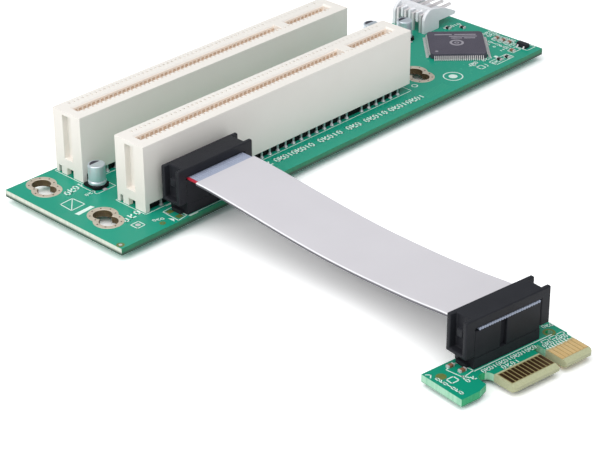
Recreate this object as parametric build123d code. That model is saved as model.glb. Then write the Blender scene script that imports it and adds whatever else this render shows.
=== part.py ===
from build123d import *
import math
import os

# Riser card: a main board with two parallel bus slots, joined by a wrapped
# ribbon cable to a small card with an edge connector.
# All sizes are in millimetres. X runs along the slots, Y runs back from the
# small card to the main board, and Z is up from the surface below the tails.

# Main board: its length follows from the slots and what lies beyond them
board_beyond_slots = 41.46
board_depth = 38.0
board_thick = 1.6
tail_reach = 1.6
tail_short = 0.1

# Small card with the edge connector
card_length = 31.3
card_left = 6.4
card_back = 1.6
card_thick = 1.6
card_tail_reach = 1.0
card_x = 13.7
card_y = -77.3
card_yaw = -7.12

# Fixing holes: two bores run into one another at a slant, in a plated ring
hole_dia = 4.2
hole_lobe_x = 0.5
hole_lobe_y = 1.55
hole_left_of_slot = 7.1
hole_right_of_slot = 8.36
hole_behind_middle = 0.3
ring_width = 1.3
ring_sides = 16
plating_thick = 0.05

# Bus slots
slot_length = 84.84
slot_width = 9.0
slot_height = 15.6
slot_lift = 1.8
slot_pitch = 20.32
slot_from_end = 13.7
slot_from_front = 7.7
mouth_width = 2.1
mouth_depth = 11.6
mouth_end = 2.6
lead_in = 0.4
key_start = 65.1
key_width = 2.8
end_groove_width = 2.8
end_groove_depth = 1.4
end_groove_low = 4.0
end_groove_top = 1.0
foot_length = 1.2
left_feet = ((0.0, 3.24), (5.4, 7.2), (8.1, 9.0))
right_feet = ((5.4, 7.2), (8.1, 9.0))
keel_width = 5.0
keel_inset = 3.7
peg_dia = 1.8
peg_inset = 2.3
peg_clearance = 0.1
peg_sides = 12

# Slot contacts
contact_pitch = 1.27
contact_first = 3.685
contact_count = 62
key_contacts = (49, 50)
blade_width = 0.62
blade_spring = 0.32
blade_below_top = 1.0
blade_bulge_down = 1.6
tail_row_inner = 1.27
tail_row_outer = 3.81
tail_width = 0.5
tail_depth = 0.4

# Ribbon connectors, the same on both boards: as long as the pins, their room and two legs
plug_depth = 5.4
plug_height = 10.9
plug_leg = 2.4
plug_under = 2.8
plug_clearance = 0.1
recess_deep = 1.7
recess_wall = 1.0
recess_floor = 0.75
latch_width = 1.7
latch_deep = 0.9
latch_low = 3.6
latch_high = 5.4
key_slot_from_end = 9.0
key_slot_width = 1.6
key_slot_deep = 0.9
header_height = 2.3
header_wall = 1.1
header_end = 0.5
header_foot = 1.0
header_foot_height = 0.9
header_foot_width = 2.7
pin_count = 13
pin_pitch = 1.27
pin_size = 0.4
pin_height = 6.0
pin_room = 0.18
plug_from_end = 17.06
plug_from_front = 0.7
card_plug_x = -0.2
card_plug_y = -3.52

# Ribbon cable, as wide as its pins take, and its wrap
ribbon_thick = 0.6
ribbon_level = 8.2
wrap_over = 0.4
wrap_thick = 0.85
wrap_start = 2.9
wrap_gap = 0.3

# The ribbon's sag: how far in front of the main connector, and how far below its level there
ribbon_flat_run = 3.6
ribbon_sag = ((10.6, 0.8), (22.3, 2.5), (40.0, 3.2), (56.5, 3.1), (70.0, 2.3))
ribbon_end_run = 2.6
ribbon_bend_share = 0.45

# Edge connector of the small card
tab_front = 9.35
tab_front_width = 4.55
tab_nose_x = 0.65
tab_nose_y = 8.4
bite_right = 3.95
bite_top = 5.2
tongue_front = 12.6
tongue_right = 24.5
shoulder_y = 5.5
shoulder_radius = 0.35
tongue_radius = 0.9
tongue_bevel = 0.45
notch_left = 15.5
notch_width = 1.9
notch_top = 4.6
finger_pitch = 1.0
finger_width = 0.7
finger_first = 4.96
finger_front = 11.2
finger_back = 7.6
finger_thick = 0.05
finger_sections = (11, 7)
card_hole_dia = 1.6
card_hole_x = 22.3
card_hole_y = 3.0

# Bridge chip, turned by 45 degrees; what stands beyond the slots is placed from the right end
chip_size = 14.0
chip_from_right = 14.36
chip_y = 15.87
chip_stand = 0.1
chip_thick = 1.4
chip_corner = 0.7
lead_count = 25
lead_pitch = 0.5
lead_width = 0.22
lead_reach = 1.0
lead_thick = 0.25

# Can capacitors: one from the board's left end, two from its right end
can_dia = 3.9
can_height = 4.6
can_base = 4.3
can_base_height = 0.8
can_base_corner = 0.8
can_bead_out = 0.12
can_bead_height = 0.6
can_bead_slope = 0.2
can_top_bevel = 0.2
can_lead_width = 0.65
can_lead_thick = 0.12
can_lead_out = 0.5
can_lead_in = 1.7
left_can = (15.1, 24.9)
right_cans = ((19.5, 28.8), (26.8, 33.5))

# Power connector
power_from_right = 13.6
power_y = 27.2
power_width = 10.8
power_length = 12.3
power_back_height = 3.45
power_top = 5.95
power_wing = 0.9
power_heel = 5.7
power_floor = 2.1
power_nose_start = 8.1
power_nose_drop = 1.15
power_nose_end_drop = 2.95
power_nose_back = 0.4
power_nose_tip_drop = 3.45
power_back_bulge = (0.85, 5.1)
power_wall_x = 2.2
power_wall_thick = 1.4
power_wall_low = 2.6
power_tongue_thick = 1.0
power_tongue_end = 11.0
power_tongue_gap = 0.9
power_pins = 4
power_pin_pitch = 2.5
power_pin_size = 0.64
power_pin_level = 4.4
power_pin_end = 11.9
power_pin_back = 0.1
power_rib = 0.7
power_rib_start = 0.3
power_rib_drop = 0.9

# Small surface parts: from the board's right end, from its front, turned along Y or not
small_length = 1.6
small_width = 0.8
small_height = 0.5
small_cap = 0.35
resistor_places = ((3.7, 22.8, True), (6.6, 25.2, True), (12.8, 3.4, True), (10.4, 2.9, True))
capacitor_places = ((3.0, 12.2, False), (3.0, 10.2, False), (3.0, 8.2, False), (6.4, 4.5, True))
card_parts = ((-0.5, 0.1, False), (0.2, -2.4, False))
regulator_from_right = 2.5
regulator_y = 4.2
regulator_length = 3.0
regulator_width = 1.6
regulator_height = 1.1
regulator_stand = 0.1
regulator_waist = 0.6
regulator_draft = 0.15
regulator_leg = 0.4
regulator_leg_thick = 0.15
regulator_leg_out = 0.45
regulator_pitch = 0.95

# How far a cutting block reaches past the face it cuts
past = 1.0

# Levels and places that follow from the sizes above
board_length = slot_from_end + slot_length + board_beyond_slots
plug_length = (pin_count - 1) * pin_pitch + pin_size + 2 * (pin_room + header_end + plug_leg)
ribbon_width = pin_count * pin_pitch
wrap_width = ribbon_width + 2 * wrap_over
board_bottom = tail_reach
board_top = board_bottom + board_thick
card_bottom = card_tail_reach
card_top = card_bottom + card_thick
yaw = math.radians(card_yaw)
card_place = Location((card_x, card_y, 0), (0, 0, card_yaw))
tongue_tip_x = tongue_right - tongue_radius
tongue_tip_y = tongue_radius - tongue_front
front_tip = card_y + tongue_tip_x * math.sin(yaw) + tongue_tip_y * math.cos(yaw) - tongue_radius
middle_y = (board_depth + front_tip) / 2
slot_middles = [slot_from_front + slot_width / 2 + i * slot_pitch for i in range(2)]
hole_columns = (slot_from_end - hole_left_of_slot, slot_from_end + slot_length + hole_right_of_slot)

os.makedirs("parts", exist_ok=True)


def save(name, shape):
    """Write one piece in the part's own frame, with its origin under the middle."""
    solids = shape.solids() if hasattr(shape, "solids") else ShapeList(shape)
    placed = [Pos(-board_length / 2, -middle_y, 0) * solid for solid in solids]
    export_step(placed[0] if len(placed) == 1 else Compound(children=placed), f"parts/{name}.step")


def block(x0, x1, y0, y1, z0, z1):
    """A box between two opposite corners."""
    middle = Pos((x0 + x1) / 2, (y0 + y1) / 2, (z0 + z1) / 2)
    return middle * Box(abs(x1 - x0), abs(y1 - y0), abs(z1 - z0))


def side_profile(points, width):
    """A plate from points in X and Z, with its thickness along +Y."""
    face = make_face(Polyline(*[(x, 0, z) for x, z in points], close=True))
    return extrude(face, amount=width, dir=(0, 1, 0))


def end_profile(points, width):
    """A plate from points in Y and Z, with its thickness along +X."""
    face = make_face(Polyline(*[(0, y, z) for y, z in points], close=True))
    return extrude(face, amount=width, dir=(1, 0, 0))


def spike(size, length):
    """A tail's end below a board: its cone of solder, plainly with three sides."""
    corners = [Vector(-size, -size, 0), Vector(size, -size, 0), Vector(0, size, 0)]
    tip = Vector(0, 0, -length)
    faces = [Face(Wire.make_polygon(corners))]
    for start, end in zip(corners, corners[1:] + corners[:1]):
        faces.append(Face(Wire.make_polygon([start, end, tip])))
    return Solid(Shell(faces))


def post(diameter, sides, height):
    """An upright post with flat sides, as wide across its corners as the diameter."""
    return extrude(RegularPolygon(diameter / 2, sides), amount=height / 2, both=True)


def double(column):
    """Two like columns run into one another, at the places of a fixing hole's two bores."""
    return Pos(-hole_lobe_x, -hole_lobe_y, 0) * column + Pos(hole_lobe_x, hole_lobe_y, 0) * column


def hole_spots():
    """The middle of each fixing hole, beside the ends of the slots."""
    return [(x, y + hole_behind_middle) for x in hole_columns for y in slot_middles]


def peg_spots():
    """The middle of each locating peg under the slots."""
    ends = (slot_from_end + peg_inset, slot_from_end + slot_length - peg_inset)
    return [(x, y) for x in ends for y in slot_middles]


# Boards

def main_board():
    """The main board, drilled for the rings and the slots' pegs."""
    board = block(0, board_length, 0, board_depth, board_bottom, board_top)
    middle = (board_bottom + board_top) / 2
    for x, y in hole_spots():
        board -= Pos(x, y, middle) * double(post(hole_dia + 2 * ring_width, ring_sides, 2 * board_thick))
    for x, y in peg_spots():
        board -= Pos(x, y, middle) * post(peg_dia + 2 * peg_clearance, peg_sides, 2 * board_thick)
    return board


def hole_plating():
    """The plated rings: one solid in each fixing hole."""
    height = board_thick + 2 * plating_thick
    ring = double(post(hole_dia + 2 * ring_width, ring_sides, height))
    ring -= double(Cylinder(hole_dia / 2, 2 * height))
    middle = (board_bottom + board_top) / 2
    return [Pos(x, y, middle) * ring for x, y in hole_spots()]


def edge_card():
    """The small card: a tab on the left, a bite, and a tongue with a key notch."""
    bite_radius = (bite_right - tab_nose_x) / 2
    bite_side = -bite_top - bite_radius
    bite_middle = tab_nose_x + bite_radius
    right = card_length - card_left
    outline = Polyline(
        (bite_right, bite_side),
        (bite_right, -tongue_front),
        (tongue_right, -tongue_front),
        (tongue_right, -shoulder_y),
        (right, -shoulder_y),
        (right, card_back),
        (-card_left, card_back),
        (-card_left, -tab_front),
        (tab_front_width - card_left, -tab_front),
        (tab_nose_x, -tab_nose_y),
        (tab_nose_x, bite_side),
    )
    bite = ThreePointArc((tab_nose_x, bite_side), (bite_middle, -bite_top), (bite_right, bite_side))
    card = extrude(make_face([outline, bite]), amount=card_thick)
    uprights = card.edges().filter_by(Axis.Z)
    tongue_corners = [e for e in uprights if e.center().Y < -tongue_front + 0.01]
    card = fillet(tongue_corners, tongue_radius)
    shoulder = [e for e in card.edges().filter_by(Axis.Z)
                if e.center().X > right - 0.01 and e.center().Y < 0]
    card = fillet(shoulder, shoulder_radius)
    bevel_points = (
        (-tongue_front - past, 0),
        (-tongue_front - past, tongue_bevel),
        (-tongue_front, tongue_bevel),
        (-tongue_front + 2 * tongue_bevel, 0),
    )
    bevel_length = tongue_right - bite_right + 2 * past
    bevel = Pos(bite_right - past, 0, 0) * end_profile(bevel_points, bevel_length)
    top_points = tuple((y, card_thick - z) for y, z in bevel_points)
    top_bevel = Pos(bite_right - past, 0, 0) * end_profile(top_points, bevel_length)
    card = card - bevel - top_bevel
    card -= block(notch_left, notch_left + notch_width, -tongue_front - past, -notch_top,
                  -past, card_thick + past)
    card -= Pos(card_hole_x, -card_hole_y, card_thick / 2) * post(card_hole_dia, peg_sides, 2 * card_thick)
    return card_place * Pos(0, 0, card_bottom) * card


def edge_fingers():
    """The edge contacts on both sides of the tongue, in two groups round the key."""
    fingers = []
    missing = round((notch_width + finger_pitch) / finger_pitch) - 1
    columns = list(range(finger_sections[0]))
    columns += [finger_sections[0] + missing + i for i in range(finger_sections[1])]
    for column in columns:
        x = finger_first + column * finger_pitch
        for low in (card_top, card_bottom - finger_thick):
            finger = block(x - finger_width / 2, x + finger_width / 2,
                           -finger_front, -finger_back, low, low + finger_thick)
            fingers.append(card_place * finger)
    return fingers


# Bus slots

def mouth(x0, x1, left_lead, right_lead):
    """The space of one mouth, with its wider lead-in at the top."""
    floor = slot_height - mouth_depth
    middle = slot_width / 2
    half = mouth_width / 2
    space = block(x0, x1, middle - half, middle + half, floor, slot_height)
    top_length = x1 - x0 + left_lead + right_lead
    top_middle = (x0 - left_lead + x1 + right_lead) / 2
    top = Pos(top_middle, middle, slot_height) * Rectangle(top_length, mouth_width + 2 * lead_in)
    neck = Pos((x0 + x1) / 2, middle, slot_height - lead_in) * Rectangle(x1 - x0, mouth_width)
    return space + loft([neck, top])


def slot_housing():
    """One slot's moulding, from its left front corner on the board."""
    body = block(0, slot_length, 0, slot_width, slot_lift, slot_height)
    keel_low = (slot_width - keel_width) / 2
    body += block(keel_inset, slot_length - keel_inset, keel_low, keel_low + keel_width, 0, slot_lift)
    for x0, feet in ((0, left_feet), (slot_length - foot_length, right_feet)):
        for foot_front, foot_back in feet:
            body += block(x0, x0 + foot_length, foot_front, foot_back, 0, slot_lift)
    body -= mouth(mouth_end, key_start, lead_in, 0)
    body -= mouth(key_start + key_width, slot_length - mouth_end, 0, lead_in)
    groove_front = (slot_width - end_groove_width) / 2
    groove_back = groove_front + end_groove_width
    for x0, x1 in ((-past, end_groove_depth), (slot_length - end_groove_depth, slot_length + past)):
        body -= block(x0, x1, groove_front, groove_back, end_groove_low, slot_height - end_groove_top)
    peg_length = slot_lift + board_thick + tail_reach
    for x in (peg_inset, slot_length - peg_inset):
        peg = post(peg_dia, peg_sides, peg_length)
        body += Pos(x, slot_width / 2, slot_lift - peg_length / 2) * peg
    return body


def tail_strip(side):
    """The stretch of an outer tail between the housing and the board."""
    corners = [(-tail_width / 2, side * tail_depth / 2), (tail_width / 2, side * tail_depth / 2),
               (0, -side * tail_depth / 2)]
    return extrude(make_face(Polyline(*corners, close=True)), amount=slot_lift)


def blade(side, floor, top):
    """A contact's spring: flat on the mouth's wall, and bulging out to one high point."""
    half = blade_width / 2
    corners = [Vector(-half, 0, floor), Vector(half, 0, floor), Vector(half, 0, top), Vector(-half, 0, top)]
    bulge = Vector(0, -side * blade_spring, top - blade_bulge_down)
    faces = [Face(Wire.make_polygon(corners))]
    for start, end in zip(corners, corners[1:] + corners[:1]):
        faces.append(Face(Wire.make_polygon([start, end, bulge])))
    return Solid(Shell(faces))


def slot_contacts():
    """One slot's contacts: springs in the mouth, tails above and below the board."""
    pieces = []
    middle = slot_width / 2
    floor = slot_height - mouth_depth
    top = slot_height - blade_below_top
    half = mouth_width / 2
    under = tail_reach - tail_short
    for column in range(contact_count):
        if column in key_contacts:
            continue
        x = contact_first + column * contact_pitch
        for side in (-1, 1):
            pieces.append(Pos(x, middle + side * half, 0) * blade(side, floor, top))
            outer = (column % 2 == 0) == (side > 0)
            row = middle + side * (tail_row_outer if outer else tail_row_inner)
            if outer:
                pieces.append(Pos(x, row, 0) * tail_strip(side))
            pieces.append(Pos(x, row, -board_thick) * spike(tail_width / 2, under))
    return pieces


def at_slot(number, shapes):
    """Move pieces from a slot's own corner to that slot's place on the board."""
    place = Pos(slot_from_end, slot_from_front + number * slot_pitch, board_top)
    return [place * shape for shape in shapes]


# Ribbon connectors, drawn from their left front corner on the board

def plug_header():
    """The header on the board: an open frame round the pins, with a foot at each end."""
    left = plug_leg
    right = plug_length - plug_leg
    frame = block(left, right, plug_clearance, plug_depth - plug_clearance, 0, header_height)
    frame -= block(left + header_end, right - header_end, header_wall, plug_depth - header_wall,
                   -past, header_height + past)
    low = (plug_depth - header_foot_width) / 2
    high = (plug_depth + header_foot_width) / 2
    frame += block(left - header_foot, left, low, high, 0, header_foot_height)
    frame += block(right, right + header_foot, low, high, 0, header_foot_height)
    return frame


def plug_pin_spots():
    """The header pins' places, in two rows."""
    first = plug_length / 2 - (pin_count - 1) * pin_pitch / 2
    rows = (plug_depth / 2 - pin_pitch / 2, plug_depth / 2 + pin_pitch / 2)
    return [(first + i * pin_pitch, y) for i in range(pin_count) for y in rows]


def plug_pins(thick, reach):
    """The header pins above the board, and their soldered tails below it."""
    pieces = []
    for x, y in plug_pin_spots():
        half = pin_size / 2
        pieces.append(block(x - half, x + half, y - half, y + half, 0, pin_height))
        pieces.append(Pos(x, y, -thick) * spike(half, reach))
    return pieces


def plug_socket():
    """The socket pressed over the pins: hollow below, with a key slot in its face."""
    left = plug_leg
    right = plug_length - plug_leg
    body = block(left, right, plug_clearance, plug_depth - plug_clearance, header_height, ribbon_level)
    room = pin_height + 2 * plug_clearance
    body -= block(left + header_end, right - header_end, header_wall, plug_depth - header_wall, 0, room)
    body -= block(key_slot_from_end, key_slot_from_end + key_slot_width, -past, key_slot_deep,
                  0, ribbon_level + past)
    return body


def plug_cover():
    """The cover: a saddle over the ribbon, with a channel and a latch in each leg."""
    cover = block(0, plug_length, 0, plug_depth, plug_under, plug_height)
    saddle_low = ribbon_level + ribbon_thick
    cover -= block(plug_leg, plug_length - plug_leg, -past, plug_depth + past, 0, saddle_low)
    channel_low = plug_under + recess_floor
    for left in (True, False):
        x0, x1 = (-past, recess_deep) if left else (plug_length - recess_deep, plug_length + past)
        cover -= block(x0, x1, recess_wall, plug_depth - recess_wall, channel_low, plug_height + past)
    latch_front = (plug_depth - latch_width) / 2
    for x0 in (recess_deep - latch_deep, plug_length - recess_deep):
        cover += block(x0, x0 + latch_deep, latch_front, latch_front + latch_width,
                       plug_under + latch_low, plug_under + latch_high)
    return cover


def at_main_plug(shapes):
    """Move pieces from a connector's corner to the main board."""
    return [Pos(plug_from_end, plug_from_front, board_top) * shape for shape in shapes]


def at_card_plug(shapes):
    """Move pieces from a connector's corner to the small card."""
    return [card_place * Pos(card_plug_x, card_plug_y, card_top) * shape for shape in shapes]


# Ribbon cable

def bend_radii(points):
    """The largest arc at each corner that the runs beside it leave room for."""
    radii = []
    for before, here, after in zip(points, points[1:], points[2:]):
        run_in = Vector(*here) - Vector(*before)
        run_out = Vector(*after) - Vector(*here)
        turn = math.radians(run_in.get_angle(run_out))
        radii.append(ribbon_bend_share * min(run_in.length, run_out.length) / math.tan(turn / 2))
    return radii


def ribbon_ends():
    """Where the ribbon's middle meets the main connector's front and the card connector's back."""
    start = (plug_from_end + plug_length / 2, plug_from_front)
    end_x = card_plug_x + plug_length / 2
    end_y = card_plug_y + plug_depth
    end = (card_x + end_x * math.cos(yaw) - end_y * math.sin(yaw),
           card_y + end_x * math.sin(yaw) + end_y * math.cos(yaw))
    return start, end


def ribbon_plan(width, before, after):
    """The ribbon's outline seen from above: straight, then a wide bend, then straight."""
    start, end = ribbon_ends()
    turn_point = (start[0], end[1] + (start[0] - end[0]) / math.tan(-yaw))
    first = (start[0], start[1] + before)
    last = (end[0] + after * math.sin(yaw), end[1] - after * math.cos(yaw))
    line = FilletPolyline(first, turn_point, last, radius=bend_radii([first, turn_point, last])[0])
    return trace(line, line_width=width)


def ribbon_profile(thick):
    """The ribbon's sag seen from the side, as a strip in the YZ plane."""
    start, end = ribbon_ends()
    high = board_top + ribbon_level + ribbon_thick / 2
    low = card_top + ribbon_level + ribbon_thick / 2
    route = [(start[1] + 2 * plug_depth, high), (start[1] - ribbon_flat_run, high)]
    route += [(start[1] - ahead, high - drop) for ahead, drop in ribbon_sag]
    route += [(end[1] + ribbon_end_run, low), (end[1] - 2 * plug_depth, low)]
    line = FilletPolyline(*route, radius=bend_radii(route))
    strip = trace(line, line_width=thick)
    return Plane.YZ * strip


def ribbon_shape(width, thick, before, after):
    """A flat cable along the route: the side view's strip cut to the plan's outline."""
    start, end = ribbon_ends()
    strip = extrude(ribbon_profile(thick), amount=start[0] + width)
    plan = extrude(ribbon_plan(width, before, after), amount=board_top + plug_height)
    return strip & plan


def ribbon_cable():
    """The whole ribbon, from the back of one connector to the front of the other."""
    return ribbon_shape(ribbon_width, ribbon_thick, plug_depth - plug_clearance, plug_depth)


def ribbon_wrap():
    """The smooth wrap round the ribbon between the connectors."""
    sleeve = ribbon_shape(wrap_width, wrap_thick, -wrap_start, -wrap_gap)
    core = ribbon_shape(ribbon_width, ribbon_thick, plug_depth, plug_depth)
    return sleeve - core


# Bridge chip

def at_chip(shape):
    """Move a piece to the chip's place, turned by 45 degrees."""
    return Location((board_length - chip_from_right, chip_y, board_top), (0, 0, 45)) * shape


def chip_body():
    """The chip's moulding with its cut corners."""
    half = chip_size / 2
    body = block(-half, half, -half, half, chip_stand, chip_stand + chip_thick)
    return at_chip(chamfer(body.edges().filter_by(Axis.Z), chip_corner))


def chip_leads():
    """The leads of the chip, falling from its sides to the board."""
    half = chip_size / 2
    level = chip_stand + chip_thick / 2
    points = [(half, level + lead_thick / 2), (half, level - lead_thick / 2), (half + lead_reach, 0)]
    lead = Pos(0, -lead_width / 2, 0) * side_profile(points, lead_width)
    first = -(lead_count - 1) * lead_pitch / 2
    leads = []
    for quarter in range(4):
        for i in range(lead_count):
            leads.append(at_chip(Rot(0, 0, 90 * quarter) * Pos(0, first + i * lead_pitch, 0) * lead))
    return leads


# Can capacitors

def can_capacitor(x, y):
    """One can, its base and its two leads."""
    place = Pos(x, y, board_top)
    radius = can_dia / 2
    bead = radius + can_bead_out
    low = can_base_height
    top = low + can_height
    bead_top = low + can_bead_height
    outline = [(0, low), (bead, low), (bead, bead_top), (radius, bead_top + can_bead_slope),
               (radius, top - can_top_bevel), (radius - can_top_bevel, top), (0, top)]
    half_section = make_face(Polyline(*[(r, 0, z) for r, z in outline], close=True))
    can = revolve(half_section, Axis.Z, 360)
    half = can_base / 2
    base = block(-half, half, -half, half, can_lead_thick, can_base_height)
    front_corners = [e for e in base.edges().filter_by(Axis.Z) if e.center().Y < 0]
    base = chamfer(front_corners, can_base_corner)
    leads = [block(-can_lead_width / 2, can_lead_width / 2, side * (half - can_lead_in),
                   side * (half + can_lead_out), 0, can_lead_thick) for side in (-1, 1)]
    return place * can, place * base, [place * lead for lead in leads]


# Power connector

def power_wing_outline():
    """The side of the power connector: a rounded back, a heel, and a long thin nose."""
    shoulder = power_wall_x + power_wall_thick
    edge = Polyline(
        (shoulder, 0, power_top),
        (power_nose_start, 0, power_top - power_nose_drop),
        (power_length - power_nose_back, 0, power_top - power_nose_end_drop),
        (power_length, 0, power_top - power_nose_tip_drop),
        (power_length - power_nose_back, 0, power_floor),
        (power_heel, 0, power_floor),
        (power_heel, 0, 0),
        (0, 0, 0),
        (0, 0, power_back_height),
    )
    bulge_x, bulge_z = power_back_bulge
    back = ThreePointArc((0, 0, power_back_height), (bulge_x, 0, bulge_z), (shoulder, 0, power_top))
    return make_face([edge, back])


def power_pin_rows():
    """The middle of each power pin along Y."""
    first = power_width / 2 - (power_pins - 1) * power_pin_pitch / 2
    return [first + i * power_pin_pitch for i in range(power_pins)]


def power_pin_shapes():
    """The bent power pins, and their soldered tails below the board."""
    half = power_pin_size / 2
    top = power_pin_level + half
    bend = [
        (power_pin_back, 0),
        (power_pin_back, top),
        (power_pin_end, top),
        (power_pin_end, top - power_pin_size),
        (power_pin_back + power_pin_size, top - power_pin_size),
        (power_pin_back + power_pin_size, 0),
    ]
    pins = [Pos(0, row - half, 0) * side_profile(bend, power_pin_size) for row in power_pin_rows()]
    foot = power_pin_back + half
    tails = [Pos(foot, row, -board_thick) * spike(half, tail_reach - tail_short) for row in power_pin_rows()]
    return pins + tails


def power_housing():
    """The power connector's moulding: two wings, a wall, ribs and a tongue."""
    wing = extrude(power_wing_outline(), amount=power_wing, dir=(0, 1, 0))
    body = wing + Pos(0, power_width - power_wing, 0) * wing
    wall_end = power_wall_x + power_wall_thick
    body += block(power_wall_x, wall_end, 0, power_width, power_wall_low, power_top)
    side = power_wing + power_tongue_gap
    body += block(power_wall_x, power_tongue_end, side, power_width - side,
                  power_floor, power_floor + power_tongue_thick)
    rows = power_pin_rows()
    for before, after in zip(rows, rows[1:]):
        middle = (before + after) / 2
        body += block(power_rib_start, power_wall_x, middle - power_rib / 2, middle + power_rib / 2,
                      power_wall_low, power_top - power_rib_drop)
    for pin in power_pin_shapes()[:power_pins]:
        body -= pin
    return body


def at_power(shapes):
    """Move pieces from the power connector's corner to the main board."""
    return [Pos(board_length - power_from_right, power_y, board_top) * shape for shape in shapes]


# Small surface parts

def small_part(x, y, along_y):
    """A small chip part: its middle, and its two metal ends."""
    turn = Location((x, y, 0), (0, 0, 90 if along_y else 0))
    half = small_length / 2
    side = small_width / 2
    middle = block(small_cap - half, half - small_cap, -side, side, 0, small_height)
    ends = [block(-half, small_cap - half, -side, side, 0, small_height),
            block(half - small_cap, half, -side, side, 0, small_height)]
    return turn * middle, [turn * end for end in ends]


def small_parts(places, place):
    """The middles and the ends of a group of small parts."""
    middles = []
    ends = []
    for spot in places:
        middle, pair = small_part(*spot)
        middles.append(place * middle)
        ends += [place * end for end in pair]
    return middles, ends


def regulator():
    """The small three-legged part at the board's right front corner."""
    place = Pos(board_length - regulator_from_right, regulator_y, board_top)
    half = regulator_width / 2
    top_half = half - regulator_draft
    points = [(-half, regulator_stand), (half, regulator_stand), (half, regulator_waist),
              (top_half, regulator_height), (-top_half, regulator_height), (-half, regulator_waist)]
    body = Pos(0, -regulator_length / 2, 0) * side_profile(points, regulator_length)
    leg_points = [(-half, regulator_waist), (-half - regulator_leg_out, 0),
                  (-half, regulator_waist - regulator_leg_thick)]
    leg = Pos(0, -regulator_leg / 2, 0) * side_profile(leg_points, regulator_leg)
    legs = [Pos(0, side * regulator_pitch, 0) * leg for side in (-1, 1)]
    legs.append(Rot(0, 0, 180) * leg)
    return place * body, [place * each for each in legs]


# Write every piece
save("main_board", main_board())
save("hole_plating", hole_plating())
save("edge_card", edge_card())
save("edge_fingers", edge_fingers())

housing = slot_housing()
contacts = slot_contacts()
for number in range(2):
    save(f"slot_{number + 1}_housing", at_slot(number, [housing])[0])
    save(f"slot_{number + 1}_contacts", at_slot(number, contacts))

main_pins = plug_pins(board_thick, tail_reach - tail_short)
card_pins = plug_pins(card_thick, card_tail_reach)
save("main_header", at_main_plug([plug_header()])[0])
save("main_header_pins", at_main_plug(main_pins))
save("main_socket", at_main_plug([plug_socket()])[0])
save("main_cover", at_main_plug([plug_cover()])[0])
save("card_header", at_card_plug([plug_header()])[0])
save("card_header_pins", at_card_plug(card_pins))
save("card_socket", at_card_plug([plug_socket()])[0])
save("card_cover", at_card_plug([plug_cover()])[0])

save("ribbon_cable", ribbon_cable())
save("ribbon_wrap", ribbon_wrap())

save("bridge_chip", chip_body())
save("bridge_chip_leads", chip_leads())

can_places = [left_can] + [(board_length - x, y) for x, y in right_cans]
for number, (x, y) in enumerate(can_places):
    can, base, leads = can_capacitor(x, y)
    save(f"capacitor_{number + 1}_can", can)
    save(f"capacitor_{number + 1}_base", base)
    save(f"capacitor_{number + 1}_leads", leads)

save("power_housing", at_power([power_housing()])[0])
save("power_pins", at_power(power_pin_shapes()))

on_board = Pos(0, 0, board_top)
on_card = card_place * Pos(0, 0, card_top)
resistor_spots = [(board_length - x, y, along_y) for x, y, along_y in resistor_places]
capacitor_spots = [(board_length - x, y, along_y) for x, y, along_y in capacitor_places]
resistors, resistor_ends = small_parts(resistor_spots, on_board)
capacitors, capacitor_ends = small_parts(capacitor_spots, on_board)
card_smalls, card_small_ends = small_parts(card_parts, on_card)
save("chip_resistors", resistors)
save("chip_resistor_ends", resistor_ends)
save("chip_capacitors", capacitors)
save("chip_capacitor_ends", capacitor_ends)
save("card_chip_parts", card_smalls)
save("card_chip_ends", card_small_ends)
regulator_body, regulator_legs = regulator()
save("regulator", regulator_body)
save("regulator_legs", regulator_legs)
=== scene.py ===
# %% [markdown]
# A riser card
#
# The object is a main board with two long card slots, joined by a wrapped flat
# cable to a small card with an edge connector. The solids come from the CAD
# model, and this lesson dresses them: finishes first, then the fine pieces that
# repeat, then the printing on the boards.

# %% The model and its box
import math

import bmesh
import bpy
from mathutils import Matrix, Vector


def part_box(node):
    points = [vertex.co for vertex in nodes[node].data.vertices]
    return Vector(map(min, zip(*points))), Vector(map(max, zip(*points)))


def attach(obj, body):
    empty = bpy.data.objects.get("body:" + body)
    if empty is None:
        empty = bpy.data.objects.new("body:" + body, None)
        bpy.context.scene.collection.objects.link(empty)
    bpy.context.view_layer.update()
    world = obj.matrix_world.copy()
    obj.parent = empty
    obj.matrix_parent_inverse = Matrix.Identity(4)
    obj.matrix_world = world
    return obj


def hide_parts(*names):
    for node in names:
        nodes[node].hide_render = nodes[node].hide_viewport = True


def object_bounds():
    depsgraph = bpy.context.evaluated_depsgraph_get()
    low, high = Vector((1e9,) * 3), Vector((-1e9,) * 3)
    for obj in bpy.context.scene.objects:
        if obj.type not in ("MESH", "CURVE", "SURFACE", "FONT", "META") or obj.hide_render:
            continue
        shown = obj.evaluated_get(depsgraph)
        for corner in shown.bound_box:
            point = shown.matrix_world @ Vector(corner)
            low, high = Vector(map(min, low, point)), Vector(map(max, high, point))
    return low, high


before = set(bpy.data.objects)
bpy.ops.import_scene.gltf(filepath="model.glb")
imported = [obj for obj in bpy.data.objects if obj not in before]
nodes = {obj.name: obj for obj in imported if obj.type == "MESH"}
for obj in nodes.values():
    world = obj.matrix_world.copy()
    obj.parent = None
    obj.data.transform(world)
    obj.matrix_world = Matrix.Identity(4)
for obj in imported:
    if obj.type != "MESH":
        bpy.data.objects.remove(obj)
cad_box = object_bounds()
scene = bpy.context.scene
mm = 0.001
print("nodes:", len(nodes))

# %% [markdown]
# Places to measure from
#
# A designer places parts on a board from its corner, so this lesson does too.
# Everything is first drawn in millimetres from a corner, and one matrix then
# seats it: the main board's own, the small card's, which lies at a slight angle,
# or the chip's, which is turned by 45 degrees. The corner and both levels are
# read from the model and not typed in.

# %% Places on the boards
slot_place = (13.7, 7.7)
slot_pitch = 20.32
card_place = (13.7, -77.3)
card_yaw = math.radians(-7.12)
chip_yaw = math.radians(45)
board_thick = 1.6


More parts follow.
